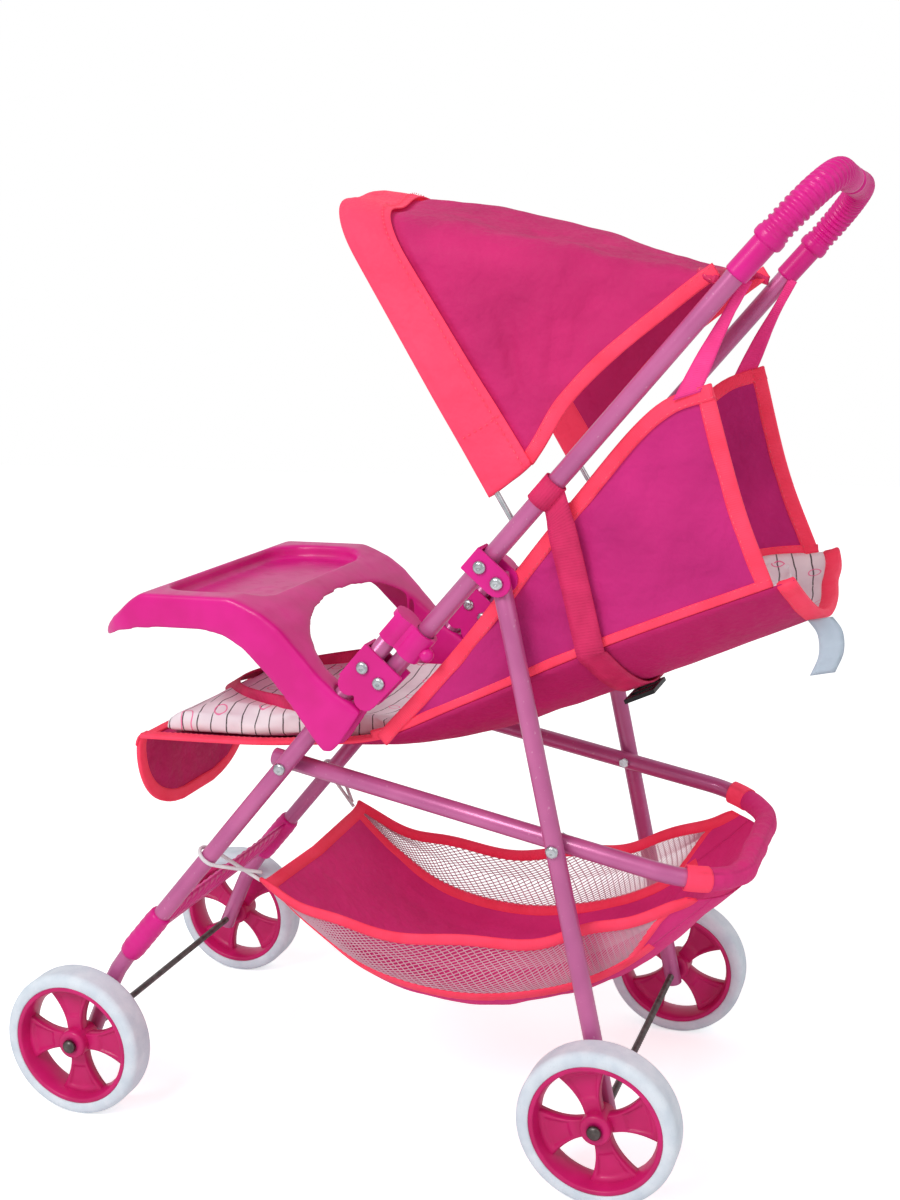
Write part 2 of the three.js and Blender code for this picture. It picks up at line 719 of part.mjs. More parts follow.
// Rim, spokes and hub, all one moulding. The gaps between its spokes widen towards the rim.
function wheel() {
  const rimOut = TYRE_INNER_R - GAP;
  const w = RIM_W / 2;
  const ring = turned(
    [
      [RIM_INNER_R, -w],
      [rimOut, -w],
      [rimOut, w],
      [RIM_INNER_R + RIM_STEP, w],
      [RIM_INNER_R, w - RIM_STEP],
      [RIM_INNER_R, -w],
    ],
    WHEEL_SEGMENTS,
  );
  const web = turned(
    [
      [0, -WEB_T / 2],
      [RIM_INNER_R + 1, -WEB_T / 2],
      [RIM_INNER_R + 1, WEB_T / 2],
      [0, WEB_T / 2],
    ],
    WHEEL_SEGMENTS,
  );
  const hub = crossBar(-WHEEL_W / 2 + GAP, WHEEL_W / 2 - GAP, [0, 0], HUB_R);
  const gapOutline = [
    ...arc([0, 0], RIM_INNER_R - RIM_STEP, -WINDOW_HALF_ANGLE, WINDOW_HALF_ANGLE, 5),
    ...arc([WINDOW_FROM, 0], WINDOW_END_R, 60, 300, 5),
  ];
  const windows = Array.from({ length: SPOKES }, (_, i) =>
    sidePlate(gapOutline, -WHEEL_W, WHEEL_W).rotate([(360 * (i + 0.5)) / SPOKES, 0, 0]),
  );
  return cut(
    joined(ring, cut(web, ...windows), hub),
    crossBar(-WHEEL_W, WHEEL_W, [0, 0], AXLE_R + GAP),
  );
}

add("front_axle", axle(FRONT_AXLE), STEEL);
add("rear_axle", axle(REAR_AXLE), STEEL);
for (const [end, place] of [
  ["front", FRONT_AXLE],
  ["rear", REAR_AXLE],
]) {
  addPair(end + "_wheel", wheel().translate([WHEEL_X, ...place]), WHEEL_PINK);
  addPair(end + "_tyre", tyre().translate([WHEEL_X, ...place]), TYRE_WHITE);
}

// ---- Tray ---------------------------------------------------------------------------------------------------------

// The tray seen from above, e inside its outer surface: rounded in front, with an arch between its two arms.
function trayPlan(e) {
  const half = TRAY_HALF_W - e;
  const inner = TRAY_HALF_W - TRAY_ARM_W + e;
  const front = TRAY_FRONT + e;
  const corner = TRAY_CORNER_R - e;
  const quarter = arc([half - corner, front + corner], corner, 0, -90, 6);
  const archQuarter = Array.from({ length: 7 }, (_, i) => {
    const a = (Math.PI / 2) * (i / 6);
    return [inner * Math.cos(a), TRAY_ARCH_FROM - (TRAY_ARCH_DEPTH - e) * Math.sin(a)];
  });
  const rear = TRAY_FRONT + TRAY_L;
  const right = [[half, rear], ...quarter];
  const archRight = [[inner, rear], ...archQuarter];
  const flip = ([x, y]) => [-x, y];
  const points = [...right, ...right.map(flip).reverse(), ...archRight.map(flip), ...archRight.reverse()];
  return points.map(([x, y]) => new THREE.Vector2(x, y));
}

function trayPrism(e, z0, z1) {
  const prism = new THREE.ExtrudeGeometry(new THREE.Shape(trayPlan(e)), {
    depth: z1 - z0,
    bevelEnabled: false,
  });
  return solidOf(prism.translate(0, 0, z0));
}

// The tray seen from the side: its top and lower edges, e below the top surface. Behind its flat top, the arms
// fall away in a long curve down to the hinge brackets.
function traySide(e, open) {
  const smooth = (points, steps) =>
    new THREE.SplineCurve(points.map(([back, drop]) => new THREE.Vector2(TRAY_FRONT + back, TRAY_TOP - drop)))
      .getPoints(steps)
      .map((p) => [p.x, p.y]);
  const top = [...smooth(TRAY_NOSE, 4), ...smooth(TRAY_FALL, 8)];
  const bottom = [...smooth(TRAY_UNDER, 10), [TRAY_FRONT, TRAY_TOP - TRAY_NOSE[0][1] - TRAY_T]];
  const lowered = top.map(([y, z]) => [y, z - e]);
  const rim = open ? bottom.map(([y, z]) => [y, z - DRILL]) : bottom;
  return sidePlate([...lowered, ...rim], -TRAY_HALF_W - DRILL, TRAY_HALF_W + DRILL);
}

function trayDish(e, floor) {
  const half = DISH_HALF_W + e;
  const r = DISH_CORNER_R + e;
  const from = TRAY_FRONT + DISH_FROM - e;
  const to = TRAY_FRONT + DISH_TO + e;
  const outline = [
    ...arc([half - r, from + r], r, 0, -90, 4),
    ...arc([-half + r, from + r], r, -90, -180, 4),
    ...arc([-half + r, to - r], r, 180, 90, 4),
    ...arc([half - r, to - r], r, 90, 0, 4),
  ];
  const shape = new THREE.Shape(outline.map(([x, y]) => new THREE.Vector2(x, y)));
  const block = new THREE.ExtrudeGeometry(shape, { depth: DRILL * 2, bevelEnabled: false });
  return solidOf(block.translate(0, 0, floor));
}

function tray() {
  const floor = TRAY_TOP - DISH_DEPTH;
  const z0 = TRAY_TOP - TRAY_L / 2;
  const outer = trayPrism(0, z0, TRAY_TOP + 1).intersect(traySide(0, false));
  const hollow = trayPrism(TRAY_T, z0, TRAY_TOP + 1).intersect(traySide(TRAY_T, true));
  const dishWall = trayDish(TRAY_T, floor - TRAY_T);
  const legRoom = tube(
    roundedPath([at(TUBE_X, onLeg(-LEG_TOP)), at(TUBE_X, onLeg(LEG_STRAIGHT))], []),
    TUBE_R + 2 * GAP,
  );
  const room = 2 * GAP;
  const bracketRoom = sidePlate(
    inSideView([
      [HINGE_UP, HINGE_EDGE + room],
      [-HINGE_DOWN - room, HINGE_EDGE + room],
      [-HINGE_DOWN - room, -TUBE_SPACING - HINGE_EDGE - room],
      [HINGE_UP, -TUBE_SPACING - HINGE_EDGE - room],
    ]),
    CHEEK_IN - DRILL,
    CHEEK_OUT + DRILL,
  );
  return cut(
    outer,
    cut(hollow, dishWall),
    trayDish(0, floor),
    bothSides(legRoom),
    bothSides(bracketRoom),
  );
}

add("tray", tray(), HOT_PINK);

// ---- Grips, footrest and canopy bow ---------------------------------------------------------------------------------

// A grip follows the handle tube round its corner: a smooth cuff, a raised ring, and the ribbed length.
function grip() {
  const lean = HANDLE_LEAN / (HANDLE_REACH - HANDLE_KINK);
  const along = (up) => onHandle(up, lean * Math.max(0, up - HANDLE_KINK));
  const sleeve = (from, radius) =>
    tube(
      roundedPath(
        [
          at(TUBE_X, along(from)),
          at(TUBE_X, along(HANDLE_REACH)),
          at(GRIP_MIDDLE_GAP, along(HANDLE_REACH)),
        ],
        [HANDLE_BEND_R],
      ),
      radius,
    );
  const straight = (ups, radius) =>
    tube(roundedPath(ups.map((up) => at(TUBE_X, along(up))), [HANDLE_KINK_R]), radius);
  const cuffEnd = GRIP_FROM + GRIP_CUFF_L;
  const outside = joined(
    sleeve(cuffEnd, GRIP_R),
    straight([GRIP_FROM, HANDLE_KINK, cuffEnd + 1], GRIP_CUFF_R),
    straight([cuffEnd, cuffEnd + GRIP_RING_L], GRIP_RING_R),
  );
  return cut(outside, tube(handlePath(), TUBE_R + GAP));
}

function footrest() {
  const sleeve = (radius) =>
    tube(
      roundedPath(
        [at(TUBE_X, onLeg(FOOTREST_DOWN)), at(TUBE_X, onLeg(FOOTREST_DOWN + FOOTREST_L))],
        [],
      ),
      radius,
    );
  const band = sidePlate(
    [
      onLeg(FOOTREST_DOWN, -FOOTREST_T / 2),
      onLeg(FOOTREST_DOWN + FOOTREST_L, -FOOTREST_T / 2),
      onLeg(FOOTREST_DOWN + FOOTREST_L, FOOTREST_T / 2),
      onLeg(FOOTREST_DOWN, FOOTREST_T / 2),
    ],
    -TUBE_X,
    TUBE_X,
  );
  const legRoom = tube(
    roundedPath([at(TUBE_X, onLeg(0)), at(TUBE_X, onLeg(LEG_STRAIGHT))], []),
    TUBE_R + GAP,
  );
  return cut(joined(band, bothSides(sleeve(FOOTREST_R))), bothSides(legRoom));
}

function canopyBow() {
  const side = (sign) => [
    at(sign * (TUBE_X - TUBE_R / 2), onBow(0)),
    at(sign * BOW_X, onBow(0)),
    at(sign * BOW_X, onBow(BOW_L)),
  ];
  const pinBend = BOW_R + 0.5;
  const path = roundedPath(
    [...side(1), at(0, onBow(BOW_L + BOW_CROWN)), ...side(-1).reverse()],
    [pinBend, BOW_CORNER_R, BOW_CROWN_R, BOW_CORNER_R, pinBend],
    20,
  );
  return tube(path, BOW_R, 8);
}

addPair("grip", grip(), HOT_PINK);
add("footrest", footrest(), HOT_PINK);
add("canopy_bow", canopyBow(), STEEL);

// ---- Soft parts -------------------------------------------------------------------------------------------------------

const mix = (a, b, t) => a.map((v, k) => v + (b[k] - v) * t);

// A point at share t of a curve through a few stations, given as lists of numbers.
function onStations(stations, t) {
  const curve = new THREE.CatmullRomCurve3(
    stations.map(([a, b, c = 0]) => new THREE.Vector3(a, b, c)),
    false,
    "centripetal",
  );
  return curve.getPoint(t).toArray();
}

// The canopy: its sections are arches that shrink to the rear, until the last lies flat against the handle tubes.
function canopy() {
  const rearEnd = onHandle(CANOPY_REAR, -TUBE_R - GAP - CLOTH_T / 2);
  const hemEnd = onBow(CANOPY_HEM_UP, BOW_R);
  const bindingLow = onHandle(CANOPY_REAR * CANOPY_GAP_AT, -CANOPY_GAP);
  const top = onBow(BOW_L + CANOPY_OVER_BOW);
  const rows = 8;
  const x = BOW_X + BOW_R + 2 * GAP + CLOTH_T / 2;
  const grid = Array.from({ length: rows + 1 }, (_, i) => {
    const t = i / rows;
    const low = onStations([hemEnd, mix(hemEnd, bindingLow, 0.4), bindingLow, rearEnd], t);
    const high = mix(top, mix(rearEnd, top, 0.04), t);
    const height = Math.hypot(high[0] - low[0], high[1] - low[1]);
    const crown = BOW_CROWN * (1 - t) + CANOPY_BULGE * Math.sin(Math.PI * t);
    const r = Math.min(BOW_CORNER_R, height * 0.9);
    const up = toward([0, 0], [high[0] - low[0], high[1] - low[1]], 1);
    const place = (across, rise) => at(across, [low[0] + up[0] * rise, low[1] + up[1] * rise]);
    const half = [
      place(x, 0),
      place(x, (height - r) / 2),
      ...arc([x - r, height - r], r, 0, 90, 4).map(([a, b]) => place(a, b)),
      place((x - r) / 2, height + crown * 0.7),
    ];
    const middle = place(0, height + crown);
    const otherHalf = half.toReversed().map((p) => new THREE.Vector3(-p.x, p.y, p.z));
    return [...half, middle, ...otherHalf];
  });
  return sheet(grid, CLOTH_T);
}

// The seat's strip: a point on its edge line, with the direction of its sag, at share t from head to front.
function seatLine(t) {
  const [y, z, sag] = onStations(SEAT_STATIONS, t);
  const ahead = onStations(SEAT_STATIONS, Math.min(1, t + 0.01));
  const behind = onStations(SEAT_STATIONS, Math.max(0, t - 0.01));
  const slope = Math.atan2(behind[1] - ahead[1], behind[0] - ahead[0]);
  return { y, z, sag, down: [Math.sin(slope), -Math.cos(slope)] };
}

// share of the strip's sag at a place across it
const hollow = (x) => 1 - Math.abs(x / SLING_X) ** 2.5;

// A row of points across the seat's strip, lifted by some amount off its cloth.
function seatRow(t, halfWidth, lift, columns) {
  const { y, z, sag, down } = seatLine(t);
  return Array.from({ length: columns + 1 }, (_, j) => {
    const x = halfWidth - (2 * halfWidth * j) / columns;
    const depth = sag * hollow(x) - lift;
    return at(x, [y + down[0] * depth, z + down[1] * depth]);
  });
}

function seatBottom() {
  const rows = 12;
  return sheet(
    Array.from({ length: rows + 1 }, (_, i) => seatRow(i / rows, SLING_X, 0, 10)),
    CLOTH_T,
  );
}

// The side panel hangs between the handle tube and the seat's edge.
function sidePanel() {
  const rows = 8;
  const top = onHandle(...SLING_TOP);
  const front = onHandle(...SLING_FRONT);
  const reach = SEAT_SIDE_TO;
  const grid = Array.from({ length: rows + 1 }, (_, i) => {
    const t = i / rows;
    const { y, z } = seatLine(t * reach);
    const low = at(SLING_X - CLOTH_T / 2, [y, z + CLOTH_T + GAP]);
    const high = at(SLING_TOP_X + (SLING_X - SLING_TOP_X) * Math.min(1, t * 3), mix(top, front, t));
    return [0, 0.5, 1].map((s) => low.clone().lerp(high, s));
  });
  return sheet(grid, CLOTH_T);
}

// The padded lining lies on the strip's cloth, thick on the seat and thin at the head.
function seatPad() {
  const rows = 12;
  const rings = Array.from({ length: rows + 1 }, (_, i) => {
    const share = i / rows;
    const t = PAD_FROM + (PAD_TO - PAD_FROM) * share;
    const ends = Math.min(1, 8 * share, 8 * (1 - share));
    const thick = (PAD_T_HEAD + (PAD_T - PAD_T_HEAD) * Math.min(1, share * 1.6)) * (0.5 + 0.5 * ends);
    const low = seatRow(t, PAD_X, CLOTH_T + 2 * GAP, 8);
    const high = seatRow(t, PAD_X - 4, CLOTH_T + 2 * GAP + thick, 8);
    return [...low, ...high.reverse()];
  });
  return loft(rings);
}

// The flap hangs from the seat's front edge, as a tongue with a round end.
function frontFlap() {
  const { y, z } = seatLine(1);
  const rows = 7;
  const grid = Array.from({ length: rows + 1 }, (_, i) => {
    const t = Math.min(i / rows, 0.985);
    const half = FLAP_X * (1 - t ** 2.5) ** 0.4;
    return Array.from({ length: 9 }, (_, j) =>
      at(half * (1 - j / 4), [y - CLOTH_T / 2 - GAP - FLAP_LEAN * t, z - FLAP_L * t]),
    );
  });
  return sheet(grid, CLOTH_T);
}

// A flat band of webbing through points, its width lying along a given direction at each.
const band = (points, across, width) =>
  sheet(
    points.map((p, i) => {
      const side = (Array.isArray(across) ? across[i] : across).clone().multiplyScalar(width / 2);
      return [p.clone().add(side), p.clone().sub(side)];
    }),
    STRAP_T,
  );

// A loop of webbing round the handle tube.
function tubeLoop(up, width) {
  const from = at(TUBE_X, onHandle(up - width / 2, 0));
  const to = at(TUBE_X, onHandle(up + width / 2, 0));
  const ring = tube(roundedPath([from, to], []), TUBE_R + GAP + STRAP_T);
  const room = tube(
    roundedPath([at(TUBE_X, onHandle(up - DRILL, 0)), at(TUBE_X, onHandle(up + DRILL, 0))], []),
    TUBE_R + GAP,
  );
  return cut(ring, room);
}

const UP_HANDLE = at(0, [Math.cos(RAKE), Math.sin(RAKE)]);

// The webbing that sets the seat's recline: round both handle tubes and under the seat.
function reclineStrap() {
  const share = RECLINE_SHARE;
  const { y, z, sag, down } = seatLine(share);
  const loopAt = onHandle(RECLINE_UP, TUBE_R + GAP + STRAP_T / 2);
  const across = at(0, [down[1] * -1, down[0]]);
  const under = (x, drop) => {
    const depth = sag * hollow(x) + drop;
    return at(x, [y + down[0] * depth, z + down[1] * depth]);
  };
  const outside = SLING_X + CLOTH_T / 2 + STRAP_T;
  const drop = CLOTH_T + STRAP_T;
  const half = [
    at(TUBE_X - TUBE_R * 0.3, loopAt),
    at(SLING_TOP_X + 1, mix(loopAt, [y, z], 0.3)),
    at(outside + 1, mix(loopAt, [y, z], 0.7)),
    at(outside + 0.6, [y, z + 2]),
    under(outside - 3, drop + 2),
    ...[0.8, 0.6, 0.4, 0.2].map((s) => under(SLING_X * s, drop)),
  ];
  const points = [
    ...half,
    under(0, drop),
    ...half.toReversed().map((p) => new THREE.Vector3(-p.x, p.y, p.z)),
  ];
  const widths = points.map((p, i) => (i % (points.length - 1) ? across : UP_HANDLE));
  return joined(band(points, widths, STRAP_W), bothSides(tubeLoop(RECLINE_UP, STRAP_W)));
}

// A flat three-bar buckle under the seat, on the recline strap.
function buckle() {
  const { y, z, sag, down } = seatLine(RECLINE_SHARE);
  const depth = sag + CLOTH_T + STRAP_T * 1.5 + BUCKLE_T / 2 + GAP;
  const plate = new THREE.BoxGeometry(BUCKLE_L, BUCKLE_W, BUCKLE_T);
  const slot = () => new THREE.BoxGeometry(BUCKLE_L * 0.26, BUCKLE_W - 5, BUCKLE_T * 3);
  const solid = cut(
    solidOf(plate),
    ...[-1, 1].map((s) => solidOf(slot().translate(s * BUCKLE_L * 0.22, 0, 0))),
  );
  const slope = THREE.MathUtils.radToDeg(Math.atan2(down[0], -down[1]));
  const place = [BUCKLE_X, y + down[0] * depth, z + down[1] * depth];
  return solid.rotate([slope, 0, 0]).translate(place);
}

// A strap that hangs the sling's top corner from the handle tube.
function hangingStrap() {
  const corner = onHandle(...SLING_TOP);
  const loopAt = onHandle(HANG_UP, 0);
  const x = TUBE_X - TUBE_R - GAP - STRAP_T / 2;
  const drift = SLING_TOP_X - CLOTH_T - STRAP_T - GAP - x;
  const lowEnd = [corner[0] - HANG_W / 2, corner[1] - HANG_SEAM];
  const points = [0, 0.5, 1].map((t) => at(x + drift * t, mix(loopAt, lowEnd, t)));
  const across = at(0, [loopAt[1] - lowEnd[1], lowEnd[0] - loopAt[0]]).normalize();
  return joined(band(points, across, HANG_W), tubeLoop(HANG_UP, HANG_W));
}

// The slack belt across the lap, from one side of the seat to the other.
function lapStrap() {
  const from = seatLine(LAP_SHARE);
  const steps = 12;
  const points = Array.from({ length: steps + 1 }, (_, i) => {
    const s = -1 + (2 * i) / steps;
    const forward = LAP_SLACK * (1 - s * s);
    return at(LAP_X * s, [from.y - forward, from.z + LAP_RISE - LAP_FALL * (1 - s * s)]);
  });
  return band(points, at(0, [0, 1]), STRAP_W);
}

// The basket: a hammock of cloth and mesh. It hangs from the lower frame's rear bar and two ties in front.
const basketStation = (t) => onStations(BASKET_STATIONS, t);
// how far the lower frame's rear bar has curved forward at a place across the stroller
const barBend = (x) =>
  LOWER_BEND_R - Math.sqrt(LOWER_BEND_R ** 2 - Math.max(0, Math.abs(x) - LOWER_X + LOWER_BEND_R) ** 2);
const LOWER_SLOPE = (FRONT_LINK[1] - REAR_LINK[1]) / (REAR_LINK[0] - FRONT_LINK[0]);

function basket() {
  const rows = 10;
  const grid = Array.from({ length: rows + 1 }, (_, i) => {
    const [y, rim, floor] = basketStation(i / rows);
    const depth = Math.max(rim - floor, 0);
    const half = [
      [BASKET_X, rim],
      [BASKET_X - 2, rim - depth * 0.4],
      [BASKET_X - 8, rim - depth * 0.78],
      [BASKET_X - 26, rim - depth],
    ];
    const section = [...half, [0, rim - depth - 2], ...half.toReversed().map(([x, z]) => [-x, z])];
    const tuck = (i / rows) ** 3;
    return section.map(([x, z]) => {
      const bend = tuck * barBend(x);
      return at(x, [y - bend, z + bend * LOWER_SLOPE]);
    });
  });
  const bar = (inset, radius) =>
    tube(
      roundedPath(
        [
          at(LOWER_X, onLower(LOWER_REACH - LOWER_BEND_R - inset)),
          at(LOWER_X, onLower(LOWER_REACH)),
          at(-LOWER_X, onLower(LOWER_REACH)),
          at(-LOWER_X, onLower(LOWER_REACH - LOWER_BEND_R - inset)),
        ],
        [LOWER_BEND_R, LOWER_BEND_R],
      ),
      radius,
    );
  const arms = bar(DRILL * 3, TUBE_R + GAP);
  const sleeve = bar(4, TUBE_R + GAP + BASKET_T);
  return cut(joined(sheet(grid, BASKET_T), sleeve), arms);
}

// An elastic tie: once round the front leg and back to the basket's front corner.
function elasticTie() {
  const [y, rim] = basketStation(0);
  const reach = TUBE_R + TIE_R + 2 * GAP;
  const corner = at(BASKET_X - 4, [y - BASKET_T / 2 - TIE_R - GAP, rim]);
  const loop = arc([0, 0], reach, 205, 415, 10).map(([a, b]) =>
    at(TUBE_X + a, onLeg(TIE_DOWN, b)),
  );
  return tube(pointPath([corner, ...loop, corner.clone().add(at(-2, [0, 4]))]), TIE_R, 6);
}

// A blank care tag, sewn to the end of the seat.
function careTag() {
  const { y, z, sag, down } = seatLine(0);
  const depth = sag * hollow(TAG_X);
  const top = [y + down[0] * depth + CLOTH_T, z + down[1] * depth - CLOTH_T];
  const points = [0, 0.5, 1].map((t) => at(TAG_X, [top[0] + 2 * t * t, top[1] - TAG_L * t]));
  return sheet(
    points.map((p) => [p.clone().add(at(TAG_W / 2, [0, 0])), p.clone().add(at(-TAG_W / 2, [0, 0]))]),
    TAG_T,
  );
}

add("canopy", canopy(), CLOTH);
addPair("side_panel", sidePanel(), CLOTH);
add("seat_bottom", seatBottom(), CLOTH);
add("seat_pad", seatPad(), LINING);
add("front_flap", frontFlap(), CLOTH);
add("recline_strap", reclineStrap(), WEBBING);
add("strap_buckle", buckle(), BLACK);
addPair("hanging_strap", hangingStrap(), WEBBING);
add("lap_strap", lapStrap(), WEBBING);
add("basket", basket(), CLOTH);
addPair("elastic_tie", elasticTie(), ELASTIC);
add("care_tag", careTag(), ELASTIC);

root.updateMatrixWorld(true);
const box = new THREE.Box3().setFromObject(root);
root.position.y = -(box.min.y + box.max.y) / 2;

export default root;
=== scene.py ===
import json
import math

import bmesh
import bpy
from mathutils import Matrix, Vector, noise


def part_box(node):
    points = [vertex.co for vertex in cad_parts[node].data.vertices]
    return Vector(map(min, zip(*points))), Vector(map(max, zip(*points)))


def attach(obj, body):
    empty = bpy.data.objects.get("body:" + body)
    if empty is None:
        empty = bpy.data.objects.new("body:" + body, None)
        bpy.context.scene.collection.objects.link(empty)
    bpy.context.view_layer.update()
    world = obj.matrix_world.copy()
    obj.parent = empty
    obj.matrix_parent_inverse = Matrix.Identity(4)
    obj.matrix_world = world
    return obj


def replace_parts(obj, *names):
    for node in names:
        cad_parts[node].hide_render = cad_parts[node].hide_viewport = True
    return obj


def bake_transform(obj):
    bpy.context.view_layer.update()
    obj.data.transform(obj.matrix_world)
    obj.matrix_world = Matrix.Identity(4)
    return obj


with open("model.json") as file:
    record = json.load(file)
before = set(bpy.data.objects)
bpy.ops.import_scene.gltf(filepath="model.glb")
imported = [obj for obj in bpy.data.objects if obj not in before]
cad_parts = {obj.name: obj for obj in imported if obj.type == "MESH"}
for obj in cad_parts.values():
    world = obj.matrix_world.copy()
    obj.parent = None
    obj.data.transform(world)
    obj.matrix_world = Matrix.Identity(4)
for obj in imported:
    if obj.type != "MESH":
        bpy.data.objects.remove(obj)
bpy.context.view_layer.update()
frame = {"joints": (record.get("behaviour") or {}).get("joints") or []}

MM = 0.001
scene = bpy.context.scene

# ---- Places taken from the frame ----


def joint(name):
    return next(j for j in frame["joints"] if j["name"] == name)


def pivot(name):
    return Vector(joint(name)["pos_m"]) / MM


def middle(node):
    low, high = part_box(node)
    return (low + high) / 2 / MM


FOLD = pivot("fold")
BOW_PIVOT = pivot("canopy_swing")
FRONT_LINK = pivot("lower_frame_fold")
REAR_LINK = middle("rear_link_stud_left")
UP = Vector(joint("lock_slide_left")["axis"]).normalized()
BEHIND = Vector((0, UP.z, -UP.y))
ACROSS = Vector((1, 0, 0))
TUBE_X = middle("rear_leg_left").x
TUBE_R = 5
LEG_RIVET = middle("leg_rivet_left")
LEG_RIVET.x = 0
DOWN_LEG = (FRONT_LINK - LEG_RIVET).normalized()
LEG_BACK = Vector((0, -DOWN_LEG.z, DOWN_LEG.y))
FRONT_AXLE = middle("front_axle")
REAR_AXLE = middle("rear_axle")


def on_handle(up, behind=0, x=0):
    """A point up the handle tube from the fold pivot, and behind the tube."""
    return FOLD + UP * up + BEHIND * behind + ACROSS * x


def on_leg(down, back=0, x=0):
    return LEG_RIVET + DOWN_LEG * down + LEG_BACK * back + ACROSS * x


def from_fold(y, z, x=0):
    """A point given by its distance behind the fold pivot and its height."""
    return Vector((x, FOLD.y + y, z))


# ---- Camera ----

CAMERA_AZIMUTH, CAMERA_ELEVATION, CAMERA_ROLL = 109.56, 11.11, -0.95
CAMERA_DISTANCE = 905.7
CAMERA_TARGET = Vector((0, 8.8, 297.2))
LENS = 46.97


def add_object(name, data):
    made = bpy.data.objects.new(name, data)
    scene.collection.objects.link(made)
    return made


def aimed(name, data, azimuth, elevation, distance, roll=0):
    """Places a camera or light at a compass angle and a height, in degrees, turned to the stroller."""
    a, e = math.radians(azimuth), math.radians(elevation)
    back = Vector((math.sin(a) * math.cos(e), -math.cos(a) * math.cos(e), math.sin(e)))
    made = add_object(name, data)
    made.location = (CAMERA_TARGET + back * distance) * MM
    made.rotation_mode = "QUATERNION"
    level = (-back).to_track_quat("-Z", "Y")
    made.rotation_quaternion = level @ Matrix.Rotation(math.radians(roll), 3, "Z").to_quaternion()
    return made


def make_camera():
    data = bpy.data.cameras.new("camera")
    data.lens = LENS
    place = CAMERA_AZIMUTH, CAMERA_ELEVATION, CAMERA_DISTANCE, CAMERA_ROLL
    scene.camera = aimed("camera", data, *place)


make_camera()

# ---- Curves ----


def spline(stations, t):
    """The point at share t of a smooth curve through stations, which are vectors."""
    n = len(stations)
    place = min(max(t, 0), 1) * (n - 1)
    i = min(int(place), n - 2)
    w = place - i
    p1, p2 = stations[i], stations[i + 1]
    p0 = stations[i - 1] if i else p1 * 2 - p2
    p3 = stations[i + 2] if i < n - 2 else p2 * 2 - p1
    d0, d1, d2 = (max((b - a).length ** 0.5, 1e-3) for a, b in ((p0, p1), (p1, p2), (p2, p3)))
    leave = ((p1 - p0) / d0 - (p2 - p0) / (d0 + d1) + (p2 - p1) / d1) * d1
    arrive = ((p2 - p1) / d1 - (p3 - p1) / (d1 + d2) + (p3 - p2) / d2) * d1
    square = (p2 - p1) * 3 - leave * 2 - arrive
    cube = (p1 - p2) * 2 + leave + arrive
    return p1 + leave * w + square * w**2 + cube * w**3


def steps(count, low=0.0, high=1.0):
    """count + 1 numbers spaced evenly from low to high."""
    return [low + (high - low) * k / count for k in range(count + 1)]


def curve(stations, count):
    """count + 1 points of the smooth curve through stations."""
    return [spline(stations, t) for t in steps(count)]


def share_of(keys, points, t):
    """The point of the curve through points, where each is reached at its own share in keys."""
    i = next((k for k in range(len(keys) - 1) if t <= keys[k + 1]), len(keys) - 2)
    w = (t - keys[i]) / (keys[i + 1] - keys[i])
    return spline(points, (i + w) / (len(keys) - 1))


def reaches(points):
    """How far along the line through points each of them lies."""
    made = [0]
    for a, b in zip(points, points[1:]):
        made.append(made[-1] + (b - a).length)
    return made


def resample(points, count):
    """count + 1 points spaced evenly along the line through points."""
    reach = reaches(points)
    made, k = [], 0
    for i in range(count + 1):
        want = reach[-1] * i / count
        while k < len(reach) - 2 and reach[k + 1] < want:
            k += 1
        share = (want - reach[k]) / max(reach[k + 1] - reach[k], 1e-9)
        made.append(points[k].lerp(points[k + 1], min(share, 1)))
    return made


def rounded(corners, radii, step=8):
    """A line whose corners are rounded by arcs, with a point about every step degrees.

    radii is one radius, or one for each corner.
    """
    made = [corners[0]]
    for i, (a, b, c) in enumerate(zip(corners, corners[1:], corners[2:])):
        radius = radii if isinstance(radii, (int, float)) else radii[i]
        before, after = (b - a).normalized(), (c - b).normalized()
        turn = before.angle(after)
        if turn < 0.01:
            continue
        start = b - before * (radius * math.tan(turn / 2))
        axis = before.cross(after).normalized()
        spoke = before.cross(axis) * radius
        parts = max(2, math.ceil(math.degrees(turn) / step))
        centre = start - spoke
        made += [centre + Matrix.Rotation(a, 3, axis) @ spoke for a in steps(parts, 0, turn)]
    return [*made, corners[-1]]


def toward(start, end, distance):
    """The point at a distance from start on the way to end, or short of start if it is negative."""
    return start + (end - start).normalized() * distance


def length(points):
    return sum((b - a).length for a, b in zip(points, points[1:]))


def tangents(points):
    last = len(points) - 1
    return [(points[min(i + 1, last)] - points[max(i - 1, 0)]).normalized() for i in range(last + 1)]


def mirrored(points):
    return [Vector((-p.x, p.y, p.z)) for p in points]


def whole(half):
    """A line across the stroller, from its near half."""
    return half + mirrored(half)[::-1]


def both_sides(half):
    """An outline of (radius, x) points, from the half of it on one side of x = 0."""
    return half + [(r, -x) for r, x in reversed(half) if x]


def smooth_step(low, high, value):
    w = min(max((value - low) / (high - low), 0), 1)
    return w * w * (3 - 2 * w)


def held(share, rate):
    """From 0 at both ends of a share up to 1 inside, sooner for a greater rate."""
    return min(1, rate * share, rate * (1 - share))


NOISE_STEP = Vector((7.3, 3.1, 5.7))


def rough(point, size, seed=0):
    """Soft noise from -1 to 1, whose bumps are about size across."""
    return noise.noise(point / size + NOISE_STEP * seed)


# ---- Meshes ----


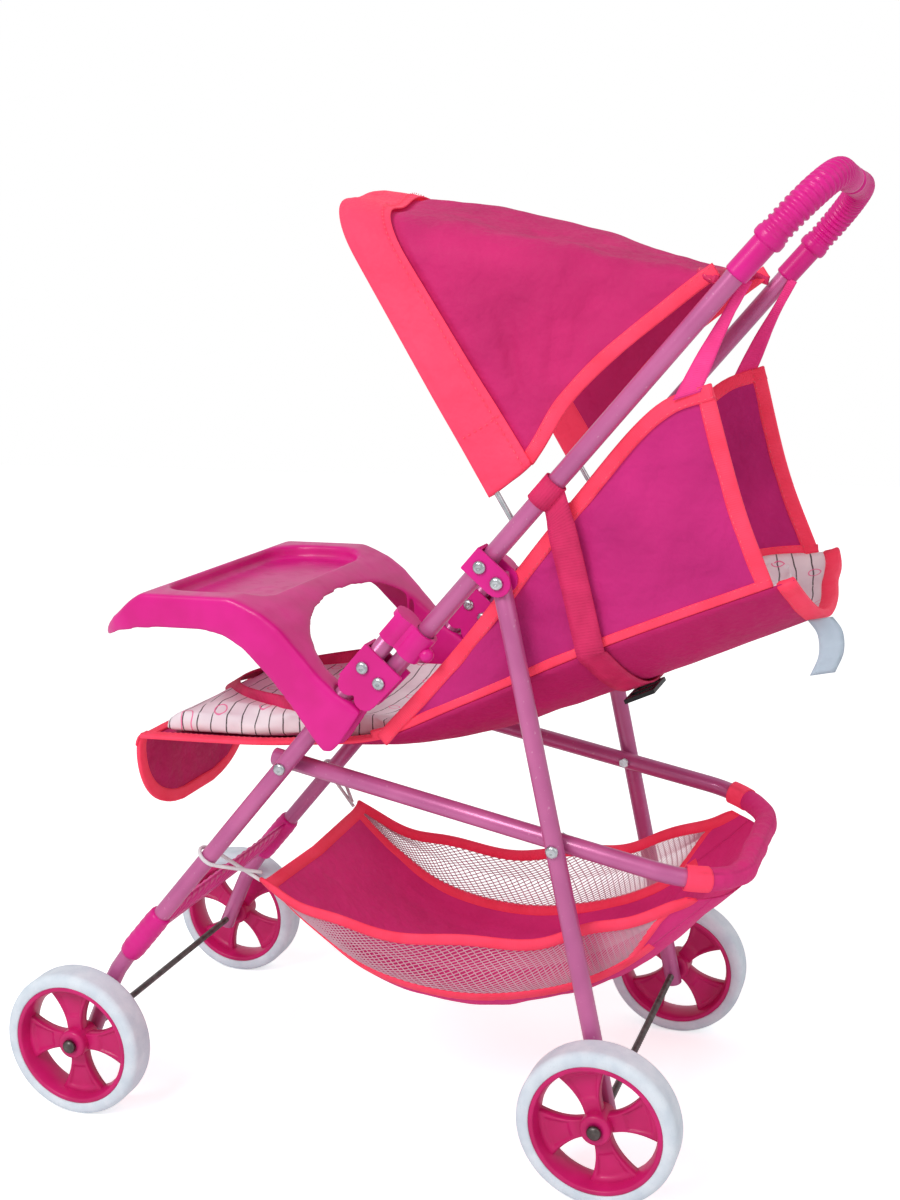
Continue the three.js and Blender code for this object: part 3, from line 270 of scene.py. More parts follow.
class Shape:
    """Points and faces that become one piece. Each point also has its place on the cloth, in metres."""

    def __init__(self):
        self.points = []
        self.places = []
        self.faces = []
        self.slots = []

    def grid(self, rows, around=False, slot=0):
        """Adds rows of points as a sheet, closed on itself sideways if around."""
        first, n = len(self.points), len(rows[0])
        across = reaches(rows[len(rows) // 2])
        along = reaches([row[n // 2] for row in rows])
        for row, v in zip(rows, along):
            for point, u in zip(row, across):
                self.points.append(point)
                self.places.append((u * MM, v * MM))
        for i in range(len(rows) - 1):
            for j in range(n if around else n - 1):
                a, b = first + i * n + j, first + i * n + (j + 1) % n
                self.faces.append((a, b, b + n, a + n))
                self.slots.append(slot)
        return first

    def cap(self, first, count, slot=0):
        """Fills in a ring of points that were added together."""
        ring = self.points[first : first + count]
        self.points.append(sum(ring, Vector()) / count)
        self.places.append(self.places[first])
        for j in range(count):
            self.faces.append((first + j, first + (j + 1) % count, len(self.points) - 1))
            self.slots.append(slot)

    def tube(self, path, radius, sides, slot=0, chamfer=0):
        """Adds a round bar along path. radius is a number, or a function of the share of the path."""
        size = radius if callable(radius) else lambda share: radius
        if chamfer:
            ends = toward(path[0], path[1], chamfer), toward(path[-1], path[-2], chamfer)
            path = [path[0], ends[0], *path[1:-1], ends[1], path[-1]]
        heading = tangents(path)
        normal = heading[0].orthogonal().normalized()
        rows = []
        for i, (point, ahead) in enumerate(zip(path, heading)):
            normal = (normal - ahead * normal.dot(ahead)).normalized()
            side = ahead.cross(normal)
            r = size(i / (len(path) - 1)) - (chamfer if i in (0, len(path) - 1) else 0)
            angles = [2 * math.pi * k / sides for k in range(sides)]
            rows.append([point + (normal * math.cos(a) + side * math.sin(a)) * r for a in angles])
        self.solid(rows, slot)
        return self

    def solid(self, rows, slot=0):
        """Adds a closed body through rings of points."""
        n = len(rows[0])
        first = self.grid(rows, around=True, slot=slot)
        self.cap(first, n, slot)
        self.cap(first + (len(rows) - 1) * n, n, slot)
        return self

    def lathe(self, profile, centre, segments):
        """Turns a closed profile of (radius, x) about the line along X through centre."""
        rows = []
        for k in range(segments):
            a = 2 * math.pi * k / segments
            rows.append([centre + Vector((x, r * math.cos(a), r * math.sin(a))) for r, x in profile])
        rows.append(rows[0])
        self.grid(rows, around=True)
        return self

    def piece(self, name, *materials, thickness=0, level=0):
        """Makes the object. level is how often it is subdivided, and thickness is the cloth's own."""
        mesh = bpy.data.meshes.new(name)
        mesh.from_pydata([p * MM for p in self.points], [], self.faces)
        layer = mesh.uv_layers.new(name="cloth")
        for loop in mesh.loops:
            layer.data[loop.index].uv = self.places[loop.vertex_index]
        for material in materials:
            mesh.materials.append(material)
        for polygon, slot in zip(mesh.polygons, self.slots):
            polygon.material_index = slot
            polygon.use_smooth = True
        made = bmesh.new()
        made.from_mesh(mesh)
        bmesh.ops.remove_doubles(made, verts=made.verts, dist=1e-6)
        bmesh.ops.recalc_face_normals(made, faces=made.faces)
        made.to_mesh(mesh)
        made.free()
        obj = add_object(name, mesh)
        if level:
            subdivide(obj, level)
        if thickness:
            solid = obj.modifiers.new("thickness", "SOLIDIFY")
            solid.thickness = thickness * MM
            solid.offset = 0
        return obj


def subdivide(obj, level):
    smooth = obj.modifiers.new("smooth", "SUBSURF")
    smooth.levels = smooth.render_levels = level


def sheet_of(name, rows, *materials, **looks):
    """A piece that is one sheet."""
    shape = Shape()
    shape.grid(rows)
    return shape.piece(name, *materials, **looks)


# ---- Cloth ----


def normals_of(rows):
    last = len(rows) - 1
    made = []
    for i, row in enumerate(rows):
        line = []
        for j in range(len(row)):
            along = rows[min(i + 1, last)][j] - rows[max(i - 1, 0)][j]
            across = row[min(j + 1, len(row) - 1)] - row[max(j - 1, 0)]
            line.append(across.cross(along).normalized())
        made.append(line)
    return made


def lifted(rows, amount):
    """Rows moved along their normals.

    amount is a number, or a function of the row's share, the column's share and the point.
    """
    facing = normals_of(rows)
    size = amount if callable(amount) else lambda v, u, point: amount
    made = []
    for v, row, ways in zip(steps(len(rows) - 1), rows, facing):
        shares = steps(len(row) - 1)
        made.append([point + way * size(v, u, point) for u, point, way in zip(shares, row, ways)])
    return made


def creased(rows, depth, size, seed=0):
    """Rows with soft creases that die out at the edges."""

    def fold(v, u, point):
        waves = rough(point, size, seed) + 0.5 * rough(point, size / 2.4, seed + 1)
        return held(u, 6) * held(v, 6) * depth * waves

    return lifted(rows, fold)


def edge_of(rows, side):
    """A sheet's edge, with the direction into the cloth at each of its points."""
    if side == "first":
        return rows[0], [(b - a).normalized() for a, b in zip(rows[0], rows[1])]
    if side == "last":
        return rows[-1], [(b - a).normalized() for a, b in zip(rows[-1], rows[-2])]
    outer, inner = (0, 1) if side == "left" else (-1, -2)
    return [row[outer] for row in rows], [(row[inner] - row[outer]).normalized() for row in rows]


def for_each(way, points):
    """One direction for each of the points, from a list of them or from a single one."""
    return way if isinstance(way, list) else [way] * len(points)


STITCH_L, STITCH_R, STITCH_TIP_R = 1.7, 0.3, 0.1
BINDING_HALF = ((1, 0, 0.6), (0.84, 0, 1.08), (0.4, 0, 0.9), (0, 0.4, 1), (0, -0.4, 0.5))


def binding_rings(edge, inward, width, rise, waver=0.0, seed=0):
    """Rings of a strip folded over a cloth's edge. inward is the way into the cloth."""
    rings = []
    for point, into, ahead in zip(edge, for_each(inward, edge), tangents(edge)):
        normal = ahead.cross(into).normalized()
        into = normal.cross(ahead).normalized()
        wide = width * (1 + waver * rough(point, 16, seed))
        profile = both_sides([(wide * a + c, b) for a, c, b in BINDING_HALF])
        rings.append([point + into * a + normal * (b * rise) for a, b in profile])
    return rings


def binding(name, material, edge, inward, width, rise, seed=3):
    """A strip folded over a cloth's edge and sewn down on both faces."""
    rings = binding_rings(edge, inward, width, rise, 0.07, seed)
    shape = Shape().solid(rings)
    for face in (1, len(rings[0]) - 2):
        add_stitches(shape, [ring[face] for ring in rings], 1)
    return shape.piece(name, material, STITCH)


def add_stitches(shape, line, slot=0):
    """Adds a row of sewn stitches, lying half sunk along a line."""
    taper = STITCH_R - STITCH_TIP_R
    places = resample(line, 2 * round(length(line) / STITCH_L / 2))
    for a, b in zip(places[::2], places[1::2]):
        shape.tube([a, a.lerp(b, 0.5), b], lambda share: STITCH_R - taper * abs(2 * share - 1), 6, slot)


def patch(first, last, left, right, rows, columns):
    """A sheet between four edges.

    first and last run from left to right, and left and right run from first to last.
    """
    first, last = resample(first, columns), resample(last, columns)
    left, right = resample(left, rows), resample(right, rows)
    made = []
    for i, v in enumerate(steps(rows)):
        line = []
        for j, u in enumerate(steps(columns)):
            ruled = first[j].lerp(last[j], v) + left[i].lerp(right[i], u)
            corners = first[0].lerp(first[-1], u).lerp(last[0].lerp(last[-1], u), v)
            line.append(ruled - corners)
        made.append(line)
    return made


# ---- Finishes ----


def linear(code):
    """The linear colour of a web colour."""
    parts = [int(code[k : k + 2], 16) / 255 for k in (1, 3, 5)]
    return (*[c / 12.92 if c <= 0.04045 else ((c + 0.055) / 1.055) ** 2.4 for c in parts], 1)


class Finish:
    """A material built node by node round one Principled shader."""

    def __init__(self, name, **values):
        self.material = bpy.data.materials.new(name)
        self.material.use_nodes = True
        self.tree = self.material.node_tree
        self.shader = self.tree.nodes["Principled BSDF"]
        self.put(self.shader, {key.replace("_", " "): value for key, value in values.items()})

    def put(self, node, values):
        for key, value in values.items():
            if isinstance(value, bpy.types.NodeSocket):
                self.tree.links.new(value, node.inputs[key])
            else:
                node.inputs[key].default_value = value

    def node(self, kind, values, **settings):
        made = self.tree.nodes.new("ShaderNode" + kind)
        for key, value in settings.items():
            setattr(made, key, value)
        self.put(made, values)
        return made

    def math(self, operation, a, b=0.0):
        return self.node("Math", {0: a, 1: b}, operation=operation).outputs[0]

    def cloth_place(self):
        """How far across and along the cloth a point lies, in metres."""
        flat = self.node("UVMap", {}, uv_map="cloth").outputs["UV"]
        split = self.node("SeparateXYZ", {"Vector": flat})
        return split.outputs["X"], split.outputs["Y"]

    def noise(self, size, detail=2.0):
        """Noise from 0 to 1, whose bumps are about size millimetres across."""
        place = self.node("TexCoord", {}).outputs["Object"]
        values = {"Vector": place, "Scale": 1 / (size * MM), "Detail": detail}
        return self.node("TexNoise", values).outputs["Fac"]

    def scaled(self, value, from_low, from_high, low, high):
        values = {"Value": value, 1: from_low, 2: from_high, 3: low, 4: high}
        return self.node("MapRange", values).outputs["Result"]

    def tone(self, light, deep, size, low=0.35, high=0.65, detail=2.0):
        """A colour that drifts between two web colours, in patches about size millimetres across."""
        share = self.scaled(self.noise(size, detail), low, high, 0, 1)
        return self.mix(share, linear(light), linear(deep))

    def wave(self, value, pitch):
        """A wave from -1 to 1 that repeats every pitch millimetres."""
        return self.math("SINE", self.math("MULTIPLY", value, 2 * math.pi / (pitch * MM)))

    def mix(self, share, a, b):
        return self.node("Mix", {0: share, 6: a, 7: b}, data_type="RGBA").outputs[2]

    def bump(self, height, depth, onto=None):
        """A bump as deep as depth millimetres where height goes from 0 to 1."""
        values = {"Height": height, "Distance": depth * MM, "Strength": 1.0}
        if onto:
            values["Normal"] = onto
        return self.node("Bump", values).outputs["Normal"]

    def end(self, colour, roughness, normal):
        self.put(self.shader, {"Base Color": colour, "Roughness": roughness, "Normal": normal})
        return self.material


def dyed_cloth_with_painted_glow(name, colour, sheen, specular, painted_glow):
    """The finish of a dyed cloth with a soft sheen. Its glow is painted light: the cloth gives off light in
    its own colour, so that it looks brighter in shade.
    """
    # Painted light: emission in the cloth's own colour, which brightens the cloth where it lies in shade.
    painted_glow_emission = {"Emission_Color": linear(colour), "Emission_Strength": painted_glow}
    soft = {"Sheen_Weight": sheen, "Sheen_Roughness": 0.4, "Sheen_Tint": linear(colour)}
    return Finish(name, Specular_IOR_Level=specular, **soft, **painted_glow_emission)


def woven(name, light, deep, weave=0.8, roughness=0.62, painted_glow=0.0):
    """Thin plain-woven cloth, with a fine rumple. weave is the pitch of its threads."""
    f = dyed_cloth_with_painted_glow(name, light, 0.05, 0.18, painted_glow)
    across, along = f.cloth_place()
    threads = f.math("MULTIPLY", f.wave(across, weave), f.wave(along, weave))
    # Painted shade: the hollows between the threads, where the weave's bump is lowest, are mixed towards
    # the deep colour.
    weave_hollow_shade = f.scaled(threads, -1, 1, 0.16, 0)
    colour = f.mix(weave_hollow_shade, f.tone(light, deep, 45, 0.2, 0.8), linear(deep))
    dull = f.scaled(f.noise(3), 0.3, 0.7, roughness - 0.07, roughness + 0.07)
    rumple = f.bump(f.noise(16, 3), 3.2)
    return f.end(colour, dull, f.bump(threads, 0.04, rumple))


def ribbed(name, light, deep, pitch=1.1, painted_glow=0.0):
    """Webbing or binding, with ribs across it."""
    f = dyed_cloth_with_painted_glow(name, light, 0.12, 0.3, painted_glow)
    across, along = f.cloth_place()
    ribs = f.math("MULTIPLY", f.wave(along, pitch), f.scaled(f.wave(across, pitch * 2), -1, 1, 0.5, 1))
    # Painted shade: the grooves between the ribs, where their bump is lowest, are mixed towards the deep
    # colour.
    rib_groove_shade = f.scaled(ribs, -1, 1, 0.2, 0)
    colour = f.mix(rib_groove_shade, f.tone(light, deep, 14, 0.3, 0.7), linear(deep))
    rumple = f.bump(f.noise(6, 3), 0.35)
    return f.end(colour, f.scaled(f.noise(4), 0.3, 0.7, 0.55, 0.7), f.bump(ribs, 0.07, rumple))


def moulded(name, light, deep, roughness=0.3):
    """Moulded plastic, with a faint grain and fine rubbed patches."""
    f = Finish(name, Coat_Weight=0.07, Coat_Roughness=0.12, Specular_IOR_Level=0.3)
    rubbed = f.scaled(f.noise(7, 5), 0.5, 0.75, roughness, roughness + 0.12)
    uneven = f.bump(f.noise(16), 0.12)
    return f.end(f.tone(light, deep, 22), rubbed, f.bump(f.noise(1.4, 3), 0.018, uneven))


def painted(name, light, deep):
    """Enamel paint on steel tube, with a faint orange peel and scuffs."""
    f = Finish(name, Metallic=0.2, Coat_Weight=0.35, Coat_Roughness=0.12)
    scuff = f.scaled(f.noise(2.2, 6), 0.66, 0.72, 0, 1)
    colour = f.mix(f.math("MULTIPLY", scuff, 0.25), f.tone(light, deep, 30), linear("#e9c3d8"))
    peel = f.bump(f.noise(1.2, 2), 0.02)
    return f.end(colour, f.scaled(scuff, 0, 1, 0.32, 0.5), peel)


def metal(name, light, deep, roughness):
    """Plated steel with a brushed, slightly dulled surface."""
    f = Finish(name, Metallic=1.0)
    dull = f.noise(0.8, 5)
    shine = f.scaled(dull, 0.3, 0.7, roughness - 0.06, roughness + 0.1)
    return f.end(f.tone(light, deep, 5, detail=4), shine, f.bump(dull, 0.01))


def foam(name):
    """The closed-cell foam of a tyre: matt, pitted and unevenly grey."""
    f = Finish(name, Specular_IOR_Level=0.35)
    pits = f.noise(0.9, 3)
    worn = f.tone("#dfe7ef", "#cdd8e3", 11, 0.35, 0.7, 3)
    colour = f.mix(f.scaled(pits, 0.62, 0.75, 0, 0.35), worn, linear("#b3bec9"))
    return f.end(colour, f.scaled(pits, 0.3, 0.7, 0.62, 0.8), f.bump(pits, 0.09, f.bump(f.noise(8), 0.15)))


LINE_PITCH, LINE_W = 9, 0.8
RING_PITCH, RING_R = 26, 3.4


def line_print(f, along):
    """How much ink the thin ruled lines across the lining lay down at a point."""
    shift = f.math("MULTIPLY", f.scaled(f.noise(26), 0, 1, -1, 1), 2.2 * MM)
    row = f.math("FRACT", f.math("DIVIDE", f.math("ADD", along, shift), LINE_PITCH * MM))
    off_line = f.math("ABSOLUTE", f.math("SUBTRACT", row, 0.5))
    line = f.math("LESS_THAN", off_line, 0.5 * LINE_W / LINE_PITCH)
    return f.math("MULTIPLY", line, f.scaled(f.noise(5), 0.25, 0.4, 0.3, 0.95))


def ring_print(f, across, along):
    """How much ink the scattered small rings lay down at a point."""
    place = f.node("CombineXYZ", {"X": across, "Y": along, "Z": 0.0}).outputs[0]
    values = {"Vector": place, "Scale": 1 / (RING_PITCH * MM), "Randomness": 0.7}
    cell = f.node("TexVoronoi", values, voronoi_dimensions="2D")
    off_ring = f.math("ABSOLUTE", f.math("SUBTRACT", cell.outputs["Distance"], RING_R / RING_PITCH))
    ring = f.math("LESS_THAN", off_ring, 0.5 * LINE_W / RING_PITCH)
    return f.math("MULTIPLY", ring, 0.85)


def printed_lining(name):
    """White quilted lining, printed with thin lines and a scatter of small rings."""
    f = Finish(name, Sheen_Weight=0.2, Sheen_Roughness=0.5)
    across, along = f.cloth_place()
    threads = f.math("MULTIPLY", f.wave(across, 0.7), f.wave(along, 0.7))
    lined = f.mix(line_print(f, along), f.tone("#f3ecf0", "#e9dde4", 20), linear("#2b2227"))
    colour = f.mix(ring_print(f, across, along), lined, linear("#ef5f9d"))
    return f.end(colour, 0.75, f.bump(threads, 0.04, f.bump(f.noise(10, 3), 0.5)))


# Cloths given a glow here carry painted light: they give off light in their own colour, so that they look
# brighter in shade.
CANOPY_CLOTH = woven("canopy_cloth", "#d22a72", "#b32160", painted_glow=0.09)
SIDE_CLOTH = woven("side_cloth", "#cd2a7e", "#ab1f68", painted_glow=0.09)
STRIP_CLOTH = woven("strip_cloth", "#cf2470", "#bb1e63")
BASKET_CLOTH = woven("basket_cloth", "#de3280", "#c02668", painted_glow=0.12)
CORAL = woven("coral_cloth", "#ff4a6c", "#fa3c5f", weave=0.9, roughness=0.58, painted_glow=0.16)
CORAL_BINDING = ribbed("coral_binding", "#ff4567", "#f53857", painted_glow=0.12)
WEBBING = ribbed("webbing", "#e02c68", "#c62259", pitch=1.5)
HANGING_WEBBING = ribbed("hanging_webbing", "#f23f90", "#e4307e", pitch=1.2, painted_glow=0.1)
NET = woven("net_thread", "#e9bccb", "#dba3b6", weave=0.5)
STITCH = ribbed("stitching", "#ff7289", "#f2506c", pitch=0.6)
LINING = printed_lining("printed_lining")
LABEL = woven("label_satin", "#cddae8", "#bccbdb", weave=0.35, roughness=0.4)
ELASTIC = ribbed("elastic", "#f0eef0", "#d8d4d8", pitch=0.9)
PAINT = painted("tube_paint", "#c9659d", "#bb5a92")
PINK_PLASTIC = moulded("hot_pink_plastic", "#de1a8d", "#d21681")
WHEEL_PLASTIC = moulded("wheel_plastic", "#d01b6e", "#bf1661", roughness=0.36)
BLACK_PLASTIC = moulded("black_plastic", "#1d1c1f", "#141316", roughness=0.4)
TYRE = foam("tyre_foam")
STEEL = metal("plated_steel", "#d3d6da", "#b4b8bd", 0.25)
DARK_STEEL = metal("axle_steel", "#77706f", "#5a5352", 0.38)

# ---- Frame, wheels and fittings ----

SIDES = {"left": 1, "right": -1}
REAR_PIVOT = pivot("rear_legs_fold")
LOWER_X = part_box("lower_frame")[1].x / MM - TUBE_R
REAR_LINK.x = 0
BACK_ALONG = (REAR_LINK - FRONT_LINK).normalized()
BAR_REACH = 94
REAR_BAR = REAR_LINK + BACK_ALONG * BAR_REACH
BAR_BEND = 42
HANDLE_BEND, HANDLE_TOP, HANDLE_LEAN = 286, 340, 1.2
HANDLE_BEND_R, HANDLE_CORNER_R = 144, 36
LEG_TOP, LEG_BEND, LEG_BEND_R = -33, 255, 80
# Where tubes end, measured back along them from the points that hold them. Below 0 is past those.
PAST_PIVOT, PAST_AXLE, PAST_LINK = -4.5, -6.5, -11


def mount(piece, body):
    """Puts a finished piece on its body."""
    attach(piece, body)
    return piece


def hang(piece, body, slot, *nodes):
    """Puts a finished piece on its body, in place of the plain solids it stands for."""
    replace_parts(mount(piece, body), *nodes)
    return piece


def hang_look(shape, material, body, slot, node):
    """Makes the piece that stands for one plain solid."""
    return hang(shape.piece(f"{node}_look", material), body, slot, node)


def hang_tube(node, body, path):
    """Makes a painted tube with chamfered ends."""
    hang_look(Shape().tube(path, TUBE_R, 28, chamfer=0.6), PAINT, body, "paint", node)


def at_side(points, side, x=None):
    place = TUBE_X if x is None else x
    return [Vector((SIDES[side] * place, p.y, p.z)) for p in points]


def make_handle_tube():
    line = [on_handle(PAST_PIVOT), on_handle(HANDLE_BEND), on_handle(HANDLE_TOP, HANDLE_LEAN)]
    bends = [HANDLE_BEND_R, HANDLE_CORNER_R]
    path = rounded(whole(at_side(line, "left")), bends + bends[::-1])
    hang_tube("handle_tube", "handle_frame", path)


def make_legs(side):
    foot = toward(FRONT_AXLE, on_leg(LEG_BEND), PAST_AXLE)
    front = at_side([on_leg(LEG_TOP), on_leg(LEG_BEND), foot], side)
    hang_tube(f"front_leg_{side}", "front_frame", rounded(front, LEG_BEND_R))
    ends = [toward(REAR_PIVOT, REAR_AXLE, PAST_PIVOT), toward(REAR_AXLE, REAR_PIVOT, PAST_AXLE)]
    hang_tube(f"rear_leg_{side}", "rear_legs", resample(at_side(ends, side), 8))


def make_lower_frame():
    half = at_side([toward(FRONT_LINK, REAR_LINK, PAST_LINK), REAR_BAR], "left", LOWER_X)
    hang_tube("lower_frame", "lower_frame", rounded(whole(half), BAR_BEND))


def on_grip(up, x=TUBE_X):
    lean = HANDLE_LEAN / (HANDLE_TOP - HANDLE_BEND)
    return on_handle(up, lean * max(0, up - HANDLE_BEND), x)


CUFF_FROM, RING_FROM, SLEEVE_FROM = 276, 296, 302
CUFF_R, COLLAR_R, SLEEVE_R = 6.3, 8, 7.05
RIB_PITCH, RIB_RISE = 3.5, 0.5
PLAIN_END = 4


def grip_radius(s, total):
    """The grip's radius s from its lower end: a cuff, a fat ring, then ribs that stop at the far end."""
    ring, sleeve = RING_FROM - CUFF_FROM, SLEEVE_FROM - CUFF_FROM
    if s < ring:
        return CUFF_R - 0.8 * max(0, 1 - s) ** 2
    if s < sleeve:
        return COLLAR_R - 1.1 * abs(2 * (s - ring) / (sleeve - ring) - 1) ** 4
    rise = RIB_RISE * (0.35 + 0.65 * smooth_step(total - 12, total - 45, s))
    rise = rise if s < total - PLAIN_END else 0
    rib = max(-1, min(1, 1.8 * math.sin(2 * math.pi * (s - sleeve) / RIB_PITCH)))
    return SLEEVE_R + rise * rib - 1.2 * max(0, 1 - (total - s)) ** 2


def make_grip(side):
    corners = [on_grip(CUFF_FROM), on_grip(HANDLE_TOP), on_grip(HANDLE_TOP, 6)]
    path = rounded(corners, HANDLE_CORNER_R, 3)
    total = length(path)
    path = resample(path, round(total / 0.45))
    path = path if side == "left" else mirrored(path)
    shape = Shape().tube(path, lambda share: grip_radius(share * total, total), 32)
    hang_look(shape, PINK_PLASTIC, "handle_frame", "hot_pink_plastic", f"grip_{side}")


FOOT_FROM, FOOT_TO = 208, 239
FOOT_CLAMP_R, FOOT_HALF = 6.9, 1.5
BAND_PITCH, BAND_RISE = 7.6, 1.2


def foot_clamp_radius(share):
    return FOOT_CLAMP_R - 0.9 * abs(2 * share - 1) ** 8 + 0.12 * math.sin(40 * share)


def make_footrest():
    """A clamp round each front leg, and a plate between them with upright ribs on its upper part."""
    shape = Shape()
    for side in SIDES:
        clamp = resample(at_side([on_leg(FOOT_FROM - 2), on_leg(FOOT_TO + 2)], side), 24)
        shape.tube(clamp, foot_clamp_radius, 28)
    rows = []
    for x in steps(320, -TUBE_X, TUBE_X):
        rib = max(0, math.sin(2 * math.pi * x / BAND_PITCH))
        rib *= BAND_RISE * smooth_step(TUBE_X - 8, TUBE_X - 16, abs(x))
        front, back = [], []
        for share in steps(14):
            down = FOOT_FROM + (FOOT_TO - FOOT_FROM) * share
            half = FOOT_HALF * (1 - abs(2 * share - 1) ** 10)
            half += rib * smooth_step(0.06, 0.12, share) * smooth_step(0.62, 0.55, share)
            front.append(on_leg(down, -half, x))
            back.append(on_leg(down, half, x))
        rows.append(front + back[::-1])
    shape.solid(rows)
    hang_look(shape, PINK_PLASTIC, "front_frame", "hot_pink_plastic", "footrest")


BOW_LEAN = math.radians(73)
BOW_UP = (BOW_PIVOT - FOLD).dot(UP)
BOW_X, BOW_REACH, BOW_SET, BOW_R = 80, 195, 3, 1.5
BOW_BENDS = (2, 34, 150, 34, 2)


def on_bow(out, aft=0, x=0):
    """A point out along the canopy's bow from its pivot, and behind the bow."""
    up = BOW_UP + out * math.cos(BOW_LEAN) + aft * math.sin(BOW_LEAN)
    return on_handle(up, aft * math.cos(BOW_LEAN) - out * math.sin(BOW_LEAN), x)


def make_bow():
    half = [on_bow(0, 0, BOW_X + 5), on_bow(0, 0, BOW_X), on_bow(BOW_REACH - 7, BOW_SET, BOW_X)]
    line = [*half, on_bow(BOW_REACH, BOW_SET), *mirrored(half)[::-1]]
    shape = Shape().tube(rounded(line, BOW_BENDS, 6), BOW_R, 16, chamfer=0.3)
    hang_look(shape, STEEL, "canopy_bow", "steel", "canopy_bow")


def round_box(node):
    """The middle, radius and half width of a solid that is round about a line along X."""
    low, high = (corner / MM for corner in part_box(node))
    return (low + high) / 2, (high.z - low.z) / 2, (high.x - low.x) / 2


AXLE_END = ((0, 0), (1.4, 0), (3.2, 0.6), (4, 1.8), (4, 2.6), (2, 2.6))
RIVET_END = ((0, 0.35), (0.2, 0.3), (0.34, 0), (0.7, 0.18), (0.92, 0.9), (1, 1.7), (0.94, 2.2), (0.5, 2.2))


def make_axle(end, body):
    node = f"{end}_axle"
    centre, _, reach = round_box(node)
    profile = both_sides([(r, reach - drop) for r, drop in AXLE_END])
    hang_look(Shape().lathe(profile, centre, 32), DARK_STEEL, body, "steel", node)


def make_rivet(node, body):
    """A rivet with a dimpled dome at each end."""
    centre, r, reach = round_box(node)
    profile = both_sides([(r * share, reach - drop) for share, drop in RIVET_END])
    hang_look(Shape().lathe(profile, centre, 32), STEEL, body, "steel", node)


TYRE_IN, TYRE_EDGE = 36.1, 4.2


def tyre_profile(r_out, half_w):
    """A tyre's section, as (radius, x), with rounded shoulders and a flat tread."""
    edge = TYRE_EDGE
    corner = []
    for a in steps(8, 0, math.pi / 2):
        corner.append((r_out - edge + edge * math.sin(a), half_w - edge + edge * math.cos(a)))
    wall = [(TYRE_IN, half_w - 0.5), (TYRE_IN + 0.6, half_w)]
    return both_sides([*wall, *corner, (r_out, (half_w - edge) * 0.5), (r_out, 0)])


def make_tyre(where, side, body):
    node = f"{where}_tyre_{side}"
    centre, r_out, half_w = round_box(node)
    shape = Shape().lathe(tyre_profile(r_out, half_w), centre, 120)
    hang_look(shape, TYRE, body, "tyre_foam", node)


RIM_R, RIM_IN, HUB_R = 36.2, 31.6, 8.5
SPOKE_WAIST, SPOKE_END, SPOKE_LAST = 5, 14, 33
PANEL_IN, PANEL_OUT = (14.5, 17.5), (30.2, 28.2)


def spoke_half(r):
    """Half of a spoke's width, which is least beside the hub and flares at the rim."""
    return SPOKE_WAIST + (SPOKE_END - SPOKE_WAIST) * max(0, (r - 11) / (SPOKE_LAST - 11)) ** 1.7


def spoke_rise(r, share):
    """How far a spoke's face stands off the wheel's middle: a raised border round a sunk panel."""
    inside = 1 - abs(share)
    sunk = smooth_step(0.16, 0.34, inside) * smooth_step(*PANEL_IN, r) * smooth_step(*PANEL_OUT, r)
    return 3.4 - 1.3 * sunk - 0.5 * smooth_step(0.1, 0, inside)


def add_spoke(shape, centre, turn):
    rows = []
    for r in steps(44, 5, SPOKE_LAST):
        outer, inner = [], []
        for share in steps(24, -1, 1):
            a = turn + share * spoke_half(r) / r
            rise = spoke_rise(r, share)
            spot = Vector((0, r * math.cos(a), r * math.sin(a)))
            outer.append(centre + spot + ACROSS * rise)
            inner.append(centre + spot - ACROSS * rise)
        rows.append(outer + inner[::-1])
    shape.solid(rows)


def make_wheel(where, side, body, turn):
    """A wheel with a lipped rim, a round hub and four spokes, the first of them at turn."""
    node = f"{where}_wheel_{side}"
    centre, _, half_w = round_box(node)
    lip = [(RIM_IN, 0), (RIM_IN + 0.4, 4), (RIM_IN + 1.7, half_w - 0.7), (RIM_IN + 2.1, half_w - 0.1)]
    lip += [(RIM_IN + 2.6, half_w), (RIM_R - 0.7, half_w), (RIM_R - 0.1, half_w - 0.5)]
    hub = [(0, half_w - 1.5), (2.6, half_w - 1.5), (3.1, half_w - 0.6), (HUB_R - 1.6, half_w - 0.6)]
    hub += [(HUB_R - 0.4, half_w - 1.2), (HUB_R, half_w - 2.6), (HUB_R, 0)]
    shape = Shape().lathe(both_sides(lip), centre, 120).lathe(both_sides(hub), centre, 72)
    for k in range(4):
        add_spoke(shape, centre, turn + math.pi / 2 * k)
    hang_look(shape, WHEEL_PLASTIC, body, "wheel_plastic", node)


def as_one_mesh(piece):
    """Applies every modifier to the piece's own mesh."""
    graph = bpy.context.evaluated_depsgraph_get()
    graph.update()
    made = bpy.data.meshes.new_from_object(piece.evaluated_get(graph))
    piece.modifiers.clear()
    piece.data = made
    for polygon in made.polygons:
        polygon.use_smooth = True


def clean_group():
    """Nodes that weld a part's triangles into one skin with smooth shading."""
    group = bpy.data.node_groups.new("welded_skin", "GeometryNodeTree")
    group.interface.new_socket("Geometry", in_out="INPUT", socket_type="NodeSocketGeometry")
    group.interface.new_socket("Geometry", in_out="OUTPUT", socket_type="NodeSocketGeometry")
    start = group.nodes.new("NodeGroupInput")
    plain = group.nodes.new("GeometryNodeRemoveAttribute")
    plain.inputs["Name"].default_value = "custom_normal"
    weld = group.nodes.new("GeometryNodeMergeByDistance")
    weld.inputs["Distance"].default_value = 1e-5
    smooth = group.nodes.new("GeometryNodeSetShadeSmooth")
    end = group.nodes.new("NodeGroupOutput")
    for a, b in zip((start, plain, weld, smooth), (plain, weld, smooth, end)):
        group.links.new(a.outputs["Geometry"], b.inputs["Geometry"])
    return group


WELDED = clean_group()


SHARP_ANGLE = math.radians(32)


